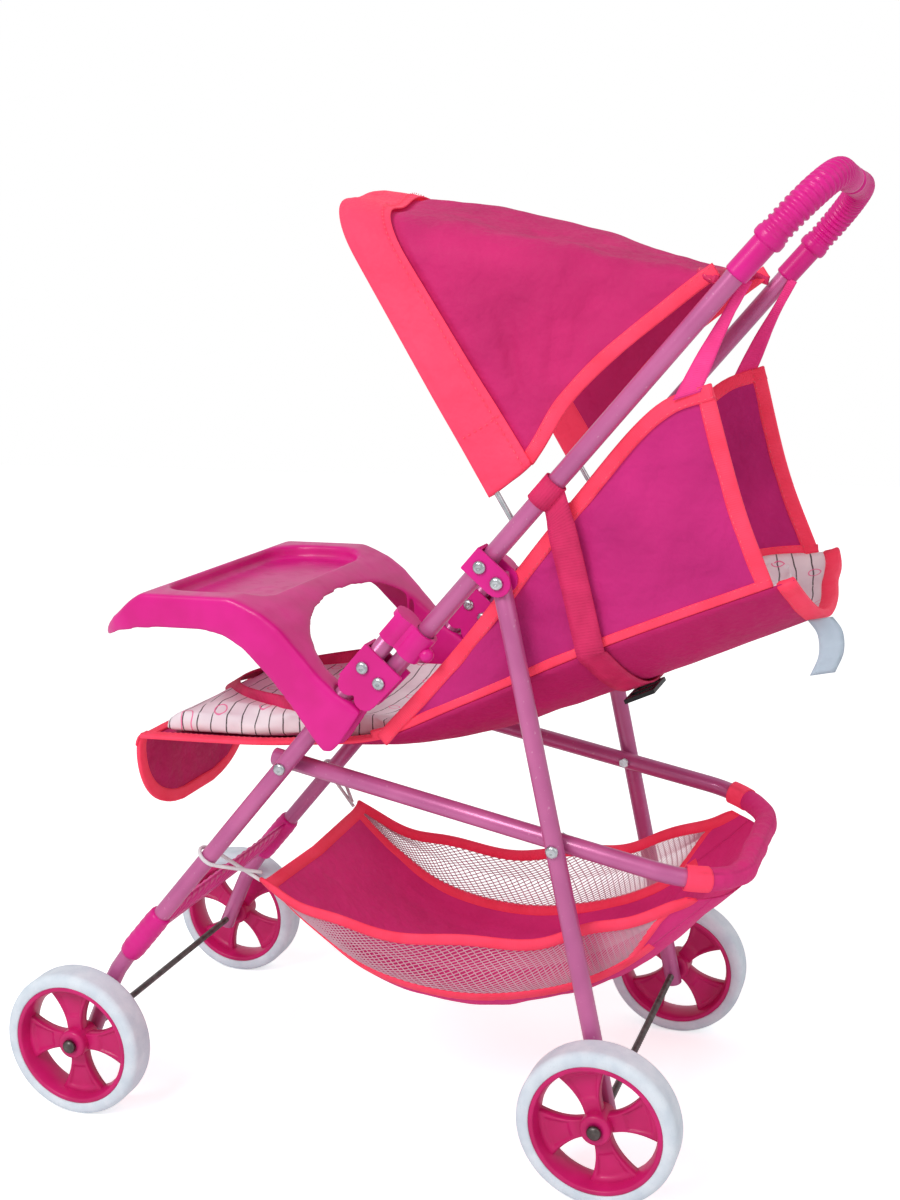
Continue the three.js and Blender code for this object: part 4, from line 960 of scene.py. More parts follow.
def dress(node, material, edge=0.45):
    """Gives a moulded part its finish, with small rounded edges."""
    part = bpy.data.objects[node]
    part.material_slots[0].material = material
    part.modifiers.new("weld", "NODES").node_group = WELDED
    bevel = part.modifiers.new("edge", "BEVEL")
    bevel.width = edge * MM
    bevel.segments = 3
    bevel.limit_method = "ANGLE"
    bevel.angle_limit = SHARP_ANGLE
    part.modifiers.new("normals", "WEIGHTED_NORMAL")


TRAY_FRONT, TRAY_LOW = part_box("tray")[0].y / MM, 283
NOSE_SQUEEZE, NOSE_FROM, NOSE_TO = 0.64, 10, 38


def remeshed(piece, voxel, smooth_shade=False):
    """Adds the modifier that remakes a piece in even faces, voxel millimetres wide."""
    remade = piece.modifiers.new("even", "REMESH")
    remade.mode = "VOXEL"
    remade.voxel_size = voxel * MM
    remade.use_smooth_shade = smooth_shade


def make_tray():
    """The tray's skin, remade fine and smoothed like a moulding, with its nose drawn to a sharper edge."""
    source = bpy.data.objects["tray"]
    mesh = source.data.copy()
    if "custom_normal" in mesh.attributes:
        mesh.attributes.remove(mesh.attributes["custom_normal"])
    mesh.transform(source.matrix_world)
    tray = add_object("tray_look", mesh)
    mesh.materials.clear()
    mesh.materials.append(PINK_PLASTIC)
    tray.modifiers.new("weld", "WELD").merge_threshold = 1e-5
    remeshed(tray, 1.0, smooth_shade=True)
    soft = tray.modifiers.new("soft", "SMOOTH")
    soft.factor = 0.7
    soft.iterations = 42
    as_one_mesh(tray)
    for vertex in tray.data.vertices:
        back = vertex.co.y / MM - TRAY_FRONT
        height = vertex.co.z / MM - TRAY_LOW
        if height > 0:
            squeeze = NOSE_SQUEEZE + (1 - NOSE_SQUEEZE) * smooth_step(NOSE_FROM, NOSE_TO, back)
            vertex.co.z = (TRAY_LOW + height * squeeze) * MM
    hang(tray, "front_frame", "hot_pink_plastic", "tray")


RIVETS = (
    ("leg_rivet", "front_frame"),
    ("fold_pivot_rivet", "front_frame"),
    ("front_link_rivet", "front_frame"),
    ("plate_rivet", "handle_frame"),
    ("rear_pivot_rivet", "rear_legs"),
    ("rear_link_stud", "rear_legs"),
)


# How far each wheel has rolled, in radians.
WHEEL_TURNS = {"front": {"left": 0.07, "right": 0.97}, "rear": {"left": 0.3, "right": -0.7}}


def make_hard_parts():
    make_handle_tube()
    make_lower_frame()
    make_footrest()
    make_bow()
    make_axle("front", "front_frame")
    make_axle("rear", "rear_legs")
    make_tray()
    dress("strap_buckle", BLACK_PLASTIC, 0.35)
    for side in SIDES:
        make_legs(side)
        make_grip(side)
        for where, turns in WHEEL_TURNS.items():
            body = f"{where}_wheel_{side}"
            make_tyre(where, side, body)
            make_wheel(where, side, body, turns[side])
        for name, body in RIVETS:
            make_rivet(f"{name}_{side}", body)
        dress(f"rear_link_nut_{side}", STEEL, 0.3)
        for name in ("hinge_bracket", "pivot_bracket", "lock_clip"):
            dress(f"{name}_{side}", PINK_PLASTIC)


make_hard_parts()
# ---- Canopy ----

CANOPY_X = 82.9
CANOPY_L = 200  # what a whole share of the canopy measures ahead of its bow
CANOPY_TOP = on_bow(BOW_REACH + 0.5, BOW_SET)
HEM_TO = 0.145
LOW_KEYS = (0, HEM_TO, 0.4, 0.62, 0.82, 0.95, 1)
LOW_UP = ((114.2, -21), (140.8, -16), (177, -21), (209, -18.7), (240, -13), (262, -8.5), (271, -6.1))
LOW_EDGE = [on_handle(up, behind) for up, behind in LOW_UP]
CANOPY_REAR = LOW_EDGE[-1].lerp(CANOPY_TOP, 0.04)
CANOPY_COLUMNS = 90
CANOPY_SHARES = steps(72, 0.02, 1)
LOW_TUCK = 1.2
CORNER_R, CORNER_LOSS = 34, 24
BOW_CROWN, MIDDLE_CROWN = 7, 9


def canopy_row(t, lift=0):
    """The canopy's section at share t of the way from the bow to its rear edge.

    It runs from the near low edge to the far one. lift is how far it stands outside the cloth.
    """
    if t < 0:
        shift = on_bow(0, -t * CANOPY_L) - on_bow(0)
        return [point - shift for point in canopy_row(0, lift)]
    low = share_of(LOW_KEYS, LOW_EDGE, t)
    high = CANOPY_TOP.lerp(CANOPY_REAR, t)
    height = (high - low).length + lift
    rise = (high - low).normalized()
    x_side = CANOPY_X + lift
    r = min(CORNER_R - CORNER_LOSS * t, 0.9 * height)
    crown = BOW_CROWN * (1 - t) + MIDDLE_CROWN * math.sin(math.pi * t)
    half = [(x_side, h) for h in steps(10, 0, height - r)][:-1]
    reach = x_side - r
    half += [(reach + r * math.cos(a), height - r + r * math.sin(a)) for a in steps(10, 0, math.pi / 2)]
    for x in steps(14, reach, 0)[1:]:
        half.append((x, height + crown * (0.5 + 0.5 * math.cos(math.pi * x / reach))))
    tuck = LOW_TUCK + max(0, lift)
    near = [low + rise * h + ACROSS * (x - tuck * smooth_step(60, 25, h)) for x, h in half]
    return resample(near + mirrored(near)[-2::-1], CANOPY_COLUMNS)


def canopy_fan(v, u, point):
    """Pulls that fan out from the hem's low corners, and softer waves elsewhere."""
    corner = share_of(LOW_KEYS, LOW_EDGE, HEM_TO)
    arm = point - Vector((point.x, corner.y, corner.z))
    far = arm.length
    turn = math.atan2(arm.dot(BEHIND), arm.dot(UP))
    wide = 2 * math.sin(13 * turn + 1.4 * rough(point, 60, 4)) * smooth_step(4, 50, far)
    fine = 0.8 * math.sin(33 * turn + 2 * rough(point, 50, 14))
    fine *= smooth_step(2, 25, far) * smooth_step(110, 50, far)
    fan = (wide + fine) * smooth_step(170, 40, far)
    hold = held(u, 9) * smooth_step(HEM_TO, HEM_TO + 0.1, v) * min(1, 12 * (1 - v))
    under_hem = 1.7 * smooth_step(HEM_TO + 0.012, HEM_TO - 0.015, v)
    return hold * (fan + 1.6 * rough(point, 38, 5) + rough(point, 13, 6)) + under_hem


def with_bow(piece, *nodes):
    """Puts a piece of the canopy in place of the plain solids it stands for, and applies its placement to
    its mesh.
    """
    edge_low, edge_high = canopy_row(HEM_TO)[0], canopy_row(HEM_TO)[CANOPY_COLUMNS // 2]
    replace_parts(piece, *nodes)
    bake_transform(piece)


def make_canopy():
    sheet = lifted([canopy_row(t) for t in CANOPY_SHARES], canopy_fan)
    piece = sheet_of("canopy_sheet", sheet, CANOPY_CLOTH, thickness=0.6, level=1)
    with_bow(piece, "canopy")
    hem_row = next(i for i, t in enumerate(CANOPY_SHARES) if t > HEM_TO)
    trims = []
    for side in SIDES:
        edge, inward = edge_of(sheet[hem_row - 1 :], side)
        edge, into = resample(edge, 90), inward[len(inward) // 2]
        trims.append(binding(f"canopy_binding_{side}", CORAL_BINDING, edge, into, 7, 1.1))
    trims.append(binding("canopy_rear_roll", WEBBING, *edge_of(sheet, "last"), 4.5, 1.4))
    for trim in trims:
        with_bow(trim)


# The hem's section from its inner end round the bow's wire: shares of the canopy, and lifts.
HEM_FOLD = (
    (0.105, -1.6),
    (0.06, -2.0),
    (0.03, -4.6),
    (0.0, -5.4),
    (-0.007, -4.6),
    (-0.011, -2),
    (-0.009, 0.4),
    (-0.002, 1.1),
)
HEM_LIFT, HEM_LIFT_LOSS = 1.2, 0.3
HEM_SEAM = 0.9  # share of the hem's rows at which it is sewn down
STITCH_STAND = 0.9  # how far outside the cloth's middle its stitches lie
HEM_END = 6  # the column at which the hem's end is sewn
SEAM_ROW = -5  # the row of the hem that is sewn down


def hem_wave(v, u, point):
    """Uneven waves outside, with a groove and stitch marks at the seam."""
    from_seam = abs(v - HEM_SEAM)
    stitch = 0.14 * math.sin(2 * math.pi * u * 150) * max(0, 1 - from_seam * 30)
    groove = 0.7 * max(0, 1 - from_seam * 22)
    waves = 0.9 + 1.5 * rough(point, 30, 8) + 0.7 * rough(point, 11, 9)
    return stitch + groove - held(v, 8) * smooth_step(0.25, 0.4, v) * waves


def make_hem():
    """The bow's wide hem: a band of cloth folded round the wire and sewn down behind it."""
    rows = [canopy_row(t, lift) for t, lift in HEM_FOLD]
    outer = steps(24, HEM_FOLD[-1][0], HEM_TO)[1:]
    rows += [canopy_row(t, HEM_LIFT - HEM_LIFT_LOSS * t / HEM_TO) for t in outer]
    rows = lifted(rows, hem_wave)
    sewn = lifted(rows, -STITCH_STAND)
    stitches = Shape()
    add_stitches(stitches, sewn[SEAM_ROW])
    for column in (HEM_END, -HEM_END - 1):
        add_stitches(stitches, [row[column] for row in sewn[len(HEM_FOLD) + 1 :]])
    seam = mount(stitches.piece("hem_stitches", STITCH), "canopy_bow")
    piece = sheet_of("canopy_hem", rows, CORAL, thickness=0.7, level=1)
    mount(piece, "canopy_bow")


# ---- Seat ----

# Stations from the head end to the front: how far behind the fold, the edge's height, and the sag.
SEAT_STATIONS = (
    (212, 332, 30),
    (116, 292, 32),
    (40, 256, 27),
    (-9, 234, 16),
    (-60, 227, 6),
    (-85, 225, 4),
    (-115, 224, 2),
    (-157, 223, 1),
)
SEAT = [Vector(station) for station in SEAT_STATIONS]
SEAT_X = 76.5
PANEL_FROM, PANEL_TO = 0.015, 0.435
PANEL_REAR = (188, 366, 81.5)
DROOP_BACK, DROOP_DOWN = 6, 9


def seat_point(share, x, lift=0):
    """A point of the seat's cloth. share runs from the head end to the front, and lift is up from it."""
    here = spline(SEAT, share)
    ahead = spline(SEAT, min(share + 0.01, 1)) - spline(SEAT, max(share - 0.01, 0))
    down = Vector((0, -ahead.y, ahead.x)).normalized()
    droop = smooth_step(40, SEAT_X, -x) * smooth_step(0.06, 0, share)
    sag = here.z * (1 - min(1, abs(x) / SEAT_X) ** 2.5) - lift
    return from_fold(here.x + DROOP_BACK * droop, here.y - DROOP_DOWN * droop, x) + down * sag


def with_seat(piece, slot="cloth", *nodes):
    """Puts a piece of the seat in place of the plain solids it stands for, and applies its placement to its
    mesh.
    """
    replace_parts(piece, *nodes)
    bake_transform(piece)
    return piece


def make_seat_strip():
    rows = [[seat_point(s, x) for x in steps(44, -SEAT_X, SEAT_X)] for s in steps(130)]
    sheet = creased(rows, 0.9, 34, 11)
    piece = sheet_of("seat_strip", sheet, STRIP_CLOTH, thickness=0.8)
    with_seat(piece, "cloth", "seat_bottom")
    trims = [binding("seat_head_binding", CORAL_BINDING, *edge_of(rows, "first"), 9, 2.2)]
    for side, sign in SIDES.items():
        edge = [seat_point(s, sign * SEAT_X, 0.4) for s in steps(80, PANEL_TO - 0.03, 1)]
        trims.append(binding(f"seat_edge_binding_{side}", CORAL_BINDING, edge, ACROSS * -sign, 8, 1.3))
    for trim in trims:
        with_seat(trim)


PANEL_TOP = ((231, 25, 86), (207, 12.7, 83.2), (135, 11.8, 80.3), (37, 16.8, 78.4), (-31, 15.8, 77))


def panel_rows(side):
    """One side of the seat. Its first row is its top edge and its last row its seam, both from the rear."""
    sign = SIDES[side]
    top_points = [on_handle(up, behind, sign * x) for up, behind, x in PANEL_TOP]
    top = curve(top_points, 50)
    seam = [seat_point(s, sign * SEAT_X, 0.8) for s in steps(50, PANEL_FROM, PANEL_TO)]
    behind, height, x = PANEL_REAR
    rear_middle = from_fold(behind, height, sign * x)
    rear = curve([top[0], rear_middle, seam[0]], 20)
    rows = patch(top, seam, rear, [top[-1], seam[-1]], 26, 64)

    def belly(v, u, point):
        hold = min(1, 5 * u) * smooth_step(0.97, 0.6, u) * held(v, 5)
        return hold * (2.4 * rough(point, 40, 21) + 1.3 * rough(point, 16, 22))

    return lifted(rows, belly)


def make_side_panel(side):
    rows = panel_rows(side)
    piece = sheet_of(f"seat_side_{side}", rows, SIDE_CLOTH, thickness=0.7, level=1)
    with_seat(piece, "cloth", f"side_panel_{side}")
    for place, edge_name, width in (("top", "first", 7.5), ("rear", "left", 8), ("seam", "last", 4.5)):
        edge, inward = edge_of(rows, edge_name)
        line, into = resample(edge, len(edge) * 2 - 2), inward[len(inward) // 2]
        name = f"side_{place}_binding_{side}"
        with_seat(binding(name, CORAL_BINDING, line, into, width, 1.2, seed=len(place)))


PAD_FROM, PAD_TO = 0.03, 0.965
PAD_X, PAD_TOP_X = 70, 66
PAD_LIFT = 2.2
PAD_VOXEL, PAD_PUFF = 3, 5


def pad_thickness(share):
    ends = smooth_step(0, 0.05, share - PAD_FROM) * smooth_step(0, 0.03, PAD_TO - share)
    return (5.5 + 6.5 * min(1, 1.6 * share)) * (0.6 + 0.4 * ends)


def pad_rings():
    """The padding's outline across the seat, from the head end to the front."""
    walls = ((PAD_X - 0.6, 0.35), (PAD_X - 1.4, 0.7))
    rings = []
    for s in steps(110, PAD_FROM, PAD_TO):
        thick = pad_thickness(s)
        under = [seat_point(s, x, PAD_LIFT) for x in steps(30, -PAD_X, PAD_X)]
        right = [seat_point(s, x, PAD_LIFT + thick * h) for x, h in walls]
        left = [seat_point(s, -x, PAD_LIFT + thick * h) for x, h in walls[::-1]]
        over = [seat_point(s, x, PAD_LIFT + thick) for x in steps(28, PAD_TOP_X, -PAD_TOP_X)]
        rings.append(under + right + over + left)
    return rings


PAD_LINE = [seat_point(s, 0) for s in steps(240)]


def pad_place(spot):
    """Where a point lies along the seat's middle line, and which way is down there."""
    level = Vector((0, spot.y, spot.z))
    nearest = min(range(1, 240, 2), key=lambda k: (PAD_LINE[k] - level).length_squared)
    ahead = (PAD_LINE[nearest + 1] - PAD_LINE[nearest - 1]).normalized()
    down = Vector((0, ahead.z, -ahead.y))
    return nearest, ahead, down if down.z < 0 else -down


def puffed(piece, voxel, most):
    """Fills a closed cloth shape as stuffing does. No point moves further than most, and none goes down."""
    remeshed(piece, voxel)
    as_one_mesh(piece)
    rest = [v.co.copy() for v in piece.data.vertices]
    cloth = piece.modifiers.new("filling", "CLOTH")
    cloth.settings.use_pressure = True
    cloth.settings.uniform_pressure_force = 4
    cloth.settings.effector_weights.gravity = 0
    for frame_number in range(1, 21):
        scene.frame_set(frame_number)
    as_one_mesh(piece)
    for vertex, start in zip(piece.data.vertices, rest):
        move = vertex.co - start
        down = pad_place(start / MM)[2]
        move -= down * max(0, move.dot(down))
        move *= min(1, most * MM / max(move.length, 1e-9))
        vertex.co = start + move
    scene.frame_set(1)


def lay_print(piece):
    """Sets each point's place on the cloth: across the seat, and along it from the head end."""
    reach = reaches(PAD_LINE)
    mesh = piece.data
    layer = mesh.uv_layers.get("cloth") or mesh.uv_layers.new(name="cloth")
    places = []
    for vertex in mesh.vertices:
        spot = vertex.co / MM
        nearest, ahead, _ = pad_place(spot)
        over = Vector((0, spot.y, spot.z)) - PAD_LINE[nearest]
        places.append((vertex.co.x, (reach[nearest] + over.dot(ahead)) * MM))
    for loop in mesh.loops:
        layer.data[loop.index].uv = places[loop.vertex_index]


def make_pad():
    shape = Shape().solid(pad_rings())
    piece = shape.piece("padded_lining", LINING)
    puffed(piece, PAD_VOXEL, PAD_PUFF)
    lay_print(piece)
    subdivide(piece, 1)
    with_seat(piece, "lining", "seat_pad")


def make_head_lining():
    """The lining's bare end, beyond the padding."""
    across = steps(60, -SEAT_X + 0.8, SEAT_X - 0.8)
    rows = [[seat_point(s, x, 1.4) for x in across] for s in steps(12, 0.008, 0.07)]
    piece = sheet_of("head_lining", rows, LINING, thickness=0.5)
    lay_print(piece)
    with_seat(piece, "lining")


FLAP_X = 73
FLAP_L = 56
FLAP_FRONT, FLAP_TOP = -157.5, 223
FLAP_MIDDLE = from_fold(-160, 212)


def flap_point(t, u):
    """A point of the flap at the seat's front: t is down from its top, and u runs from -1 to 1 across."""
    half = FLAP_X * max(0, 1 - t**2.5) ** 0.4
    rolled = 3.2 * (1 - math.exp(-t * 14))
    height = FLAP_TOP + 0.5 * (1 - t) - FLAP_L * t
    return from_fold(FLAP_FRONT - rolled - 3 * t, height, half * u)


def make_flap():
    """The hanging flap, the binding round its rim and the band sewn over its top."""
    rows = [[flap_point(t, u) for u in steps(40, -1, 1)] for t in steps(34, 0, 0.985)]
    rows = creased(rows, 1.6, 30, 31)
    piece = sheet_of("flap_sheet", rows, STRIP_CLOTH, thickness=0.8)
    hang(piece, "front_frame", "cloth", "front_flap")
    rim = [row[0] for row in rows] + rows[-1][1:-1] + [row[-1] for row in rows[::-1]]
    rim = resample(rim, 150)
    to_middle = [FLAP_MIDDLE - point for point in rim]
    edge = Shape().solid(binding_rings(rim, to_middle, 7.5, 1.4))
    across, wider = steps(50, -1, 1), steps(50, -1.02, 1.02)
    band = [[seat_point(1 - d, SEAT_X * u, 1.2) for u in across] for d in (0.022, 0.014, 0.006, 0)]
    band += [[flap_point(t, u) + Vector((0, -0.9, 0)) for u in wider] for t in (0.03, 0.08, 0.13)]
    trims = [
        edge.piece("flap_rim_binding", CORAL_BINDING),
        sheet_of("flap_top_band", creased(band, 0.5, 14, 33), CORAL_BINDING, thickness=1, level=1),
    ]
    for trim in trims:
        mount(trim, "front_frame")


# ---- Straps ----


def strap_row(centre, way, width):
    """Points across a flat strap whose width lies along way."""
    return [centre + way * (width * share) for share in steps(4, -0.5, 0.5)]


def strap(path, across, width):
    """Rows of a flat strap along path. across is its width's direction, or one for each point."""
    return [strap_row(point, way, width) for point, way in zip(path, for_each(across, path))]


def add_loop(shape, up, side, width, gap=0.9):
    """Adds a strap's loop round the handle tube."""
    rows = []
    for a in steps(32, 0, 2 * math.pi):
        spoke = BEHIND * math.cos(a) + ACROSS * math.sin(a)
        centre = on_handle(up, 0, SIDES[side] * TUBE_X) + spoke * (TUBE_R + gap)
        rows.append(strap_row(centre, UP, width))
    shape.grid(rows)


HANGER_DROP = ((278, 5, 83), (248, 12, 84.4), (219, 20.4, 86.6))
HANGER_TOP_W, HANGER_LOW_W = 5, 14
HANGER_LOOP_UP, HANGER_LOOP_W = 282, 8


def make_hanging_strap(side):
    """A loop under the grip's cuff, from which a strap widens down to the side's top edge."""
    drop = [on_handle(up, behind, SIDES[side] * x) for up, behind, x in HANGER_DROP]
    at_loop = (BEHIND + UP * 0.3).normalized()
    at_edge = (UP * 0.86 + BEHIND * 0.52).normalized()
    shape = Shape()
    add_loop(shape, HANGER_LOOP_UP, side, HANGER_LOOP_W, 0.4)
    rows = []
    for t in steps(24):
        turn = smooth_step(0.2, 1, t)
        way = at_loop.lerp(at_edge, turn) * (HANGER_TOP_W + (HANGER_LOW_W - HANGER_TOP_W) * turn)
        rows.append([spline(drop, t) + way * share for share in steps(6, -0.5, 0.5)])
    shape.grid(creased(rows, 0.5, 12, 51))
    piece = shape.piece(f"hanger_{side}", HANGING_WEBBING, thickness=0.9)
    hang(piece, "handle_frame", "webbing", f"hanging_strap_{side}")


RECLINE_UP, RECLINE_SHARE, RECLINE_W = 137, 0.152, 15
RECLINE_TOP_X, RECLINE_WAIST_X = 89, 83.6


def make_recline_strap():
    """Webbing looped round both handle tubes, which runs down the sides and under the seat."""
    start = on_handle(RECLINE_UP, 5.8, RECLINE_TOP_X)
    seam = seat_point(RECLINE_SHARE, SEAT_X + 3.4, -0.6)
    waist = start.lerp(seam, 0.5)
    waist.x = RECLINE_WAIST_X
    near = curve([start, waist, seam], 16)
    drop = (seam - start).normalized()
    level = Vector((0, -drop.z, drop.y)).normalized()
    across = [UP.lerp(level, smooth_step(0, 0.3, t)).normalized() for t in steps(16)]
    belly = [seat_point(RECLINE_SHARE, x, -2.4) for x in steps(36, SEAT_X + 1, -SEAT_X - 1)]
    belly_way = (seat_point(RECLINE_SHARE - 0.02, 0) - seat_point(RECLINE_SHARE + 0.02, 0)).normalized()
    path = near + belly + mirrored(near)[::-1]
    ways = across + for_each(belly_way, belly) + across[::-1]
    shape = Shape()
    for side in SIDES:
        add_loop(shape, RECLINE_UP, side, RECLINE_W)
    shape.grid(strap(path, ways, RECLINE_W))
    piece = shape.piece("recline_webbing", WEBBING, thickness=1.1)
    hang(piece, "handle_frame", "webbing", "recline_strap")


LAP_FROM, LAP_REACH, LAP_HALF, LAP_W = 0.57, 72, 66, 13
LAP_RISE, LAP_SAG = 18, 4


def make_lap_strap():
    """The belt lies slack in a wide bow on the pad, leaning outward."""
    start = spline(SEAT, LAP_FROM)
    path, ways = [], []
    for s in steps(60, -1, 1):
        bow_out = 1 - s * s
        height = start.y + LAP_RISE - LAP_SAG * bow_out
        path.append(from_fold(start.x - LAP_REACH * bow_out, height, LAP_HALF * s))
        ways.append(Vector((0.5 * s, 0.9 * bow_out, 1 - 0.45 * bow_out)).normalized())
    piece = sheet_of("lap_webbing", strap(path, ways, LAP_W), WEBBING, thickness=1.1)
    with_seat(piece, "webbing", "lap_strap")


TAG_DROP = ((221, 306), (226, 299), (227, 288), (223, 277))
TAG_X, TAG_W = 40, 13


def make_care_tag():
    """A blank satin label, hanging from the head end's binding and turned to the side."""
    path = curve([from_fold(y, z, TAG_X) for y, z in TAG_DROP], 14)
    way = Vector((-0.35, 0.93, 0.12)).normalized()
    piece = sheet_of("blank_tag", strap(path, way, TAG_W), LABEL, thickness=0.4)
    hang(piece, "handle_frame", "label", "care_tag")


# ---- Basket ----

# Stations from front to rear: how far behind the fold, the rim's height, and the floor's.
BASKET_STATIONS = (
    (-85, 143.5, 139),
    (-58, 131, 111),
    (-22, 124, 84),
    (30, 122, 74),
    (84, 129, 84),
    (124, 141, 103),
    (162, 154, 137),
    (187, 161.4, 161),
)
BASKET = [Vector(station) for station in BASKET_STATIONS]
# Stations from the middle to a rim: x, the share of the floor's drop, and what the front drops further.
BASKET_SECTION = [Vector(s) for s in ((0, 1, 2), (47, 1, 0), (65, 0.78, 0), (71, 0.4, 0), (73, 0, 0))]
BASKET_END = 0.985


def net_end(u):
    """The share where the net gives way to cloth: later at the rim than at the floor."""
    return 0.74 + 0.38 * (abs(u) - 0.5)


def bar_bend(x):
    """How far the lower frame's rounded corner has turned away at x."""
    over = min(max(0, abs(x) - (LOWER_X - BAR_BEND)), BAR_BEND)
    return BAR_BEND - math.sqrt(BAR_BEND**2 - over**2)


def basket_point(share, u):
    """A point of the basket. share runs from front to rear, and u from -1 to 1 across.

    The floor is the part with u inside 0.5.
    """
    here = spline(BASKET, share)
    across = spline(BASKET_SECTION, abs(u))
    drop = (here.y - here.z) * across.y + across.z * (1 - share)
    x = math.copysign(across.x, u)
    wave = 1.8 * math.sin(27 * share + (2 if u > 0 else 0))
    wave *= smooth_step(0.75, 1, abs(u)) * math.sin(math.pi * share)
    return from_fold(here.x - share**3 * bar_bend(x), here.y - drop + wave, x)


def make_basket_cloth():
    """The floor, and behind the nets a wing of the same cloth on each side."""
    rows = [[basket_point(s, u) for u in steps(44, -0.5, 0.5)] for s in steps(90, 0, BASKET_END)]
    rows = creased(rows, 1.8, 34, 41)
    shape = Shape()
    shape.grid(rows)
    for sign in (-1, 1):
        wing = []
        for s in steps(24):
            shares = [(u, net_end(u) + (BASKET_END - net_end(u)) * s) for u in steps(10, 0.5, 1)]
            wing.append([basket_point(share, sign * u) for u, share in shares])
        shape.grid(creased(wing, 0.8, 20, 42))
    piece = shape.piece("basket_floor", BASKET_CLOTH, thickness=0.8)
    return hang(piece, "lower_frame", "cloth", "basket"), rows


NET_CORD = 0.85


def make_net(side):
    """The basket's mesh side: a fine lattice of cord, sewn between the floor and the rim."""
    sign = SIDES[side]
    rows = [[basket_point(0.01 + net_end(u) * s, sign * u) for u in steps(14, 0.5, 1)] for s in steps(66)]
    piece = sheet_of(f"basket_net_{side}", rows, NET)
    mesh = bmesh.new()
    mesh.from_mesh(piece.data)
    bmesh.ops.poke(mesh, faces=mesh.faces)
    inside = [e for e in mesh.edges if len(e.link_faces) == 2]
    square = [e for e in inside if all(len(v.link_edges) > 4 for v in e.verts)]
    bmesh.ops.dissolve_edges(mesh, edges=square, use_verts=False)
    mesh.to_mesh(piece.data)
    mesh.free()
    wires = piece.modifiers.new("cords", "WIREFRAME")
    wires.thickness = NET_CORD * MM
    wires.use_even_offset = False
    return hang(piece, "lower_frame", "cloth")


BAND_SECTION = ((-0.5, 0), (-0.4, 1), (0.4, 1), (0.5, 0), (0.4, -1), (-0.4, -1))


def flat_band(line, across, width, rise=0.7):
    """Rings of a sewn band along a line on cloth."""
    rings = []
    for point, way, ahead in zip(line, for_each(across, line), tangents(line)):
        out = ahead.cross(way).normalized() * rise
        rings.append([point + way * (width * a) + out * b for a, b in BAND_SECTION])
    return rings


def toward_floor(s, u):
    return (basket_point(s, u * 0.9) - basket_point(s, u)).normalized()


def make_basket_trims():
    """Bands over the seams and along the rims, between net and cloth, and over the front edge."""
    shape = Shape()
    shares, seam_shares = steps(120, 0, BASKET_END), steps(100, 0, 0.8)
    for sign in (-1, 1):
        seam = [basket_point(s, sign * 0.5) for s in seam_shares]
        shape.solid(flat_band(seam, [toward_floor(s, sign * 0.5) for s in seam_shares], 7))
        inward = [toward_floor(s, sign) for s in shares]
        rim = [basket_point(s, sign) + way * 2.6 for s, way in zip(shares, inward)]
        shape.solid(flat_band(rim, inward, 7, 1.1))
        slant = [basket_point(net_end(u), sign * u) for u in steps(24, 0.5, 0.97)]
        shape.solid(flat_band(slant, Vector((0, 1, 0.3)).normalized(), 5.5))
    across = steps(60, -1, 1)
    inward = [(basket_point(0.03, u) - basket_point(0, u)).normalized() for u in across]
    front = [basket_point(0, u) + way * 3 for u, way in zip(across, inward)]
    shape.solid(flat_band(front, inward, 8, 1.2))
    return hang(shape.piece("basket_bands", CORAL_BINDING), "lower_frame", "cloth")


SLEEVE_X = LOWER_X - 3
BAR_SLEEVE_R = 6.2
CORAL_LOOP_R, CORAL_LOOP_L = 6.9, 12


def bar_sleeve_radius(share):
    return BAR_SLEEVE_R + 0.25 * math.sin(31 * share) + 0.15 * math.sin(57 * share)


def make_basket_sleeve():
    """Cloth round the lower frame's rear bar, with a coral loop at each end."""
    half = at_side([REAR_LINK, REAR_BAR], "left", LOWER_X)
    path = resample(rounded(whole(half), BAR_BEND, 4), 400)
    path = resample([p for p in path if abs(p.x) < SLEEVE_X], 150)
    shape = Shape().tube(path, bar_sleeve_radius, 24)
    count = max(3, round(150 * CORAL_LOOP_L / length(path)))
    for line in (path, path[::-1]):
        shape.tube(resample(line[: count + 1], 12), CORAL_LOOP_R, 24, slot=1)
    return hang(shape.piece("basket_sleeve", BASKET_CLOTH, CORAL), "lower_frame", "cloth")


def make_basket():
    cloth, rows = make_basket_cloth()
    with_it = [make_net("left"), make_net("right"), make_basket_trims(), make_basket_sleeve()]


TIE_R, TIE_DOWN = 1.1, 155
TIE_CORNER = from_fold(-87.3, 141, 69)
TIE_LOOP_R, TIE_FROM, TIE_TO = TUBE_R + 1.7, math.radians(205), math.radians(415)


def make_tie(side):
    """A thin elastic loop from the basket's corner round the front leg and back."""
    stations = [TIE_CORNER]
    for a in steps(10, TIE_FROM, TIE_TO):
        stations.append(on_leg(TIE_DOWN, TIE_LOOP_R * math.sin(a), TUBE_X + TIE_LOOP_R * math.cos(a)))
    stations.append(TIE_CORNER + Vector((-2, 0, 4)))
    path = resample(curve(stations, 240), 120)
    path = path if side == "left" else mirrored(path)
    shape = Shape().tube(path, TIE_R, 12)
    piece = hang(shape.piece(f"elastic_{side}", ELASTIC), "front_frame", "elastic", f"elastic_tie_{side}")


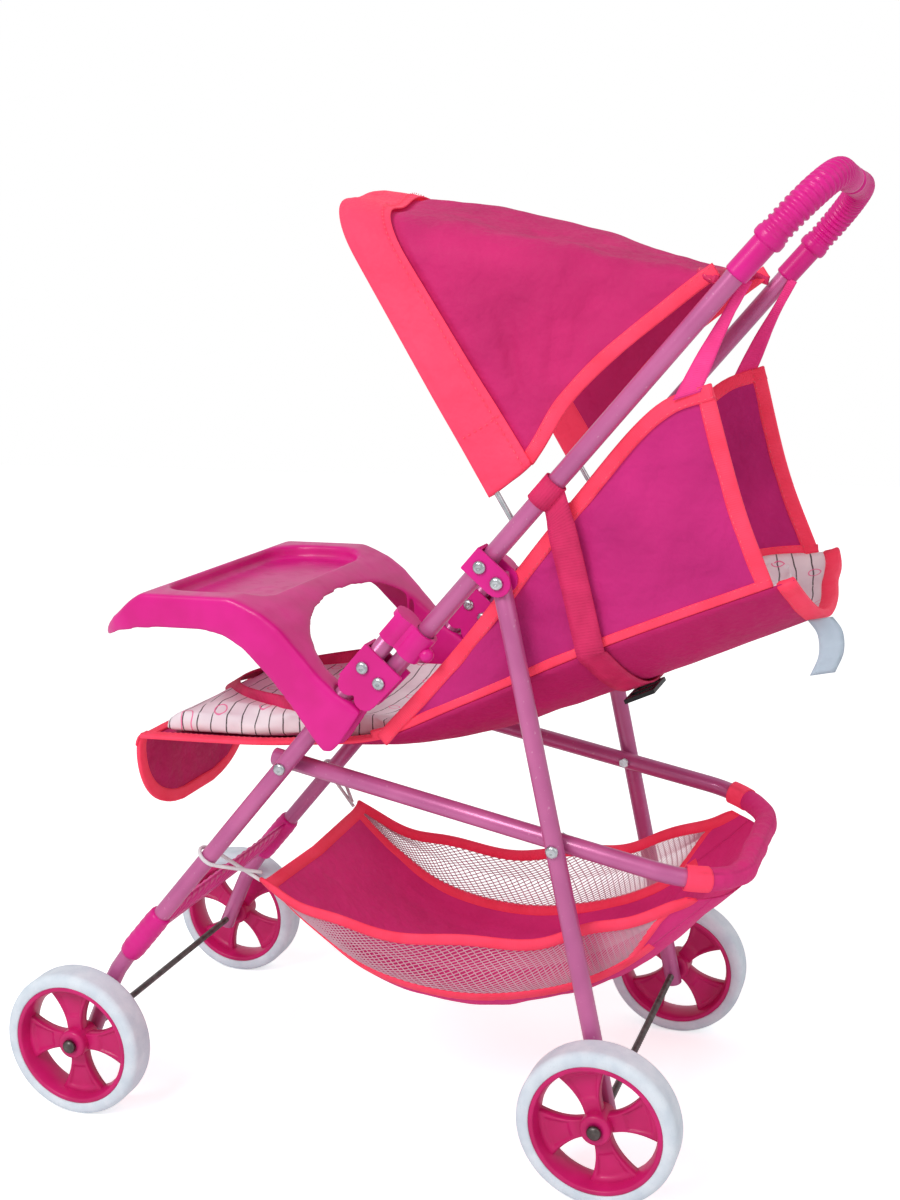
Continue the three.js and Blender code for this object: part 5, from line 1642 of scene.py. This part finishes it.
def make_soft_goods():
    for side in SIDES:
        make_tie(side)
    make_canopy()
    make_hem()
    make_seat_strip()
    make_pad()
    make_head_lining()
    make_flap()
    make_recline_strap()
    make_lap_strap()
    make_care_tag()
    make_basket()
    for side in SIDES:
        make_side_panel(side)
        make_hanging_strap(side)


make_soft_goods()

# ---- Floor and light ----


FLOOR_REACH, FLOOR_GLOW = 3000, 0.55


def make_floor():
    """A plain white floor that shows as white, and still takes the stroller's shadow."""
    places = steps(6, -FLOOR_REACH, FLOOR_REACH)
    f = Finish("floor", Roughness=0.9, Specular_IOR_Level=0.1)
    f.put(f.shader, {"Base Color": linear("#f6f6f7"), "Emission Color": (1, 1, 1, 1)})
    seen = f.node("LightPath", {}).outputs["Is Camera Ray"]
    f.put(f.shader, {"Emission Strength": f.math("MULTIPLY", seen, FLOOR_GLOW)})
    rows = [[Vector((x, y, 0)) for x in places] for y in places]
    sheet_of("floor", rows, f.material)


WORLD_FILL = 0.62


def make_world():
    """White where it is seen, and a soft fill of light elsewhere."""
    world = bpy.data.worlds.new("studio")
    scene.world = world
    world.use_nodes = True
    tree = world.node_tree
    tree.nodes.clear()
    path = tree.nodes.new("ShaderNodeLightPath")
    fill = tree.nodes.new("ShaderNodeBackground")
    fill.inputs["Strength"].default_value = WORLD_FILL
    seen = tree.nodes.new("ShaderNodeBackground")
    seen.inputs["Strength"].default_value = 1.0
    for background in (fill, seen):
        background.inputs["Color"].default_value = (1, 1, 1, 1)
    mix = tree.nodes.new("ShaderNodeMixShader")
    end = tree.nodes.new("ShaderNodeOutputWorld")
    tree.links.new(path.outputs["Is Camera Ray"], mix.inputs[0])
    tree.links.new(fill.outputs[0], mix.inputs[1])
    tree.links.new(seen.outputs[0], mix.inputs[2])
    tree.links.new(mix.outputs[0], end.inputs[0])


def make_light(name, azimuth, elevation, distance, size, power):
    """A soft square light, with its side in metres and its distance in millimetres."""
    data = bpy.data.lights.new(name, "AREA")
    data.size = size
    data.energy = power
    aimed(name, data, azimuth, elevation, distance)


make_floor()
make_world()
make_light("key", 72, 38, 1600, 0.6, 12)
make_light("fill", 150, 30, 1700, 1.2, 3)

scene.view_settings.view_transform = "Standard"
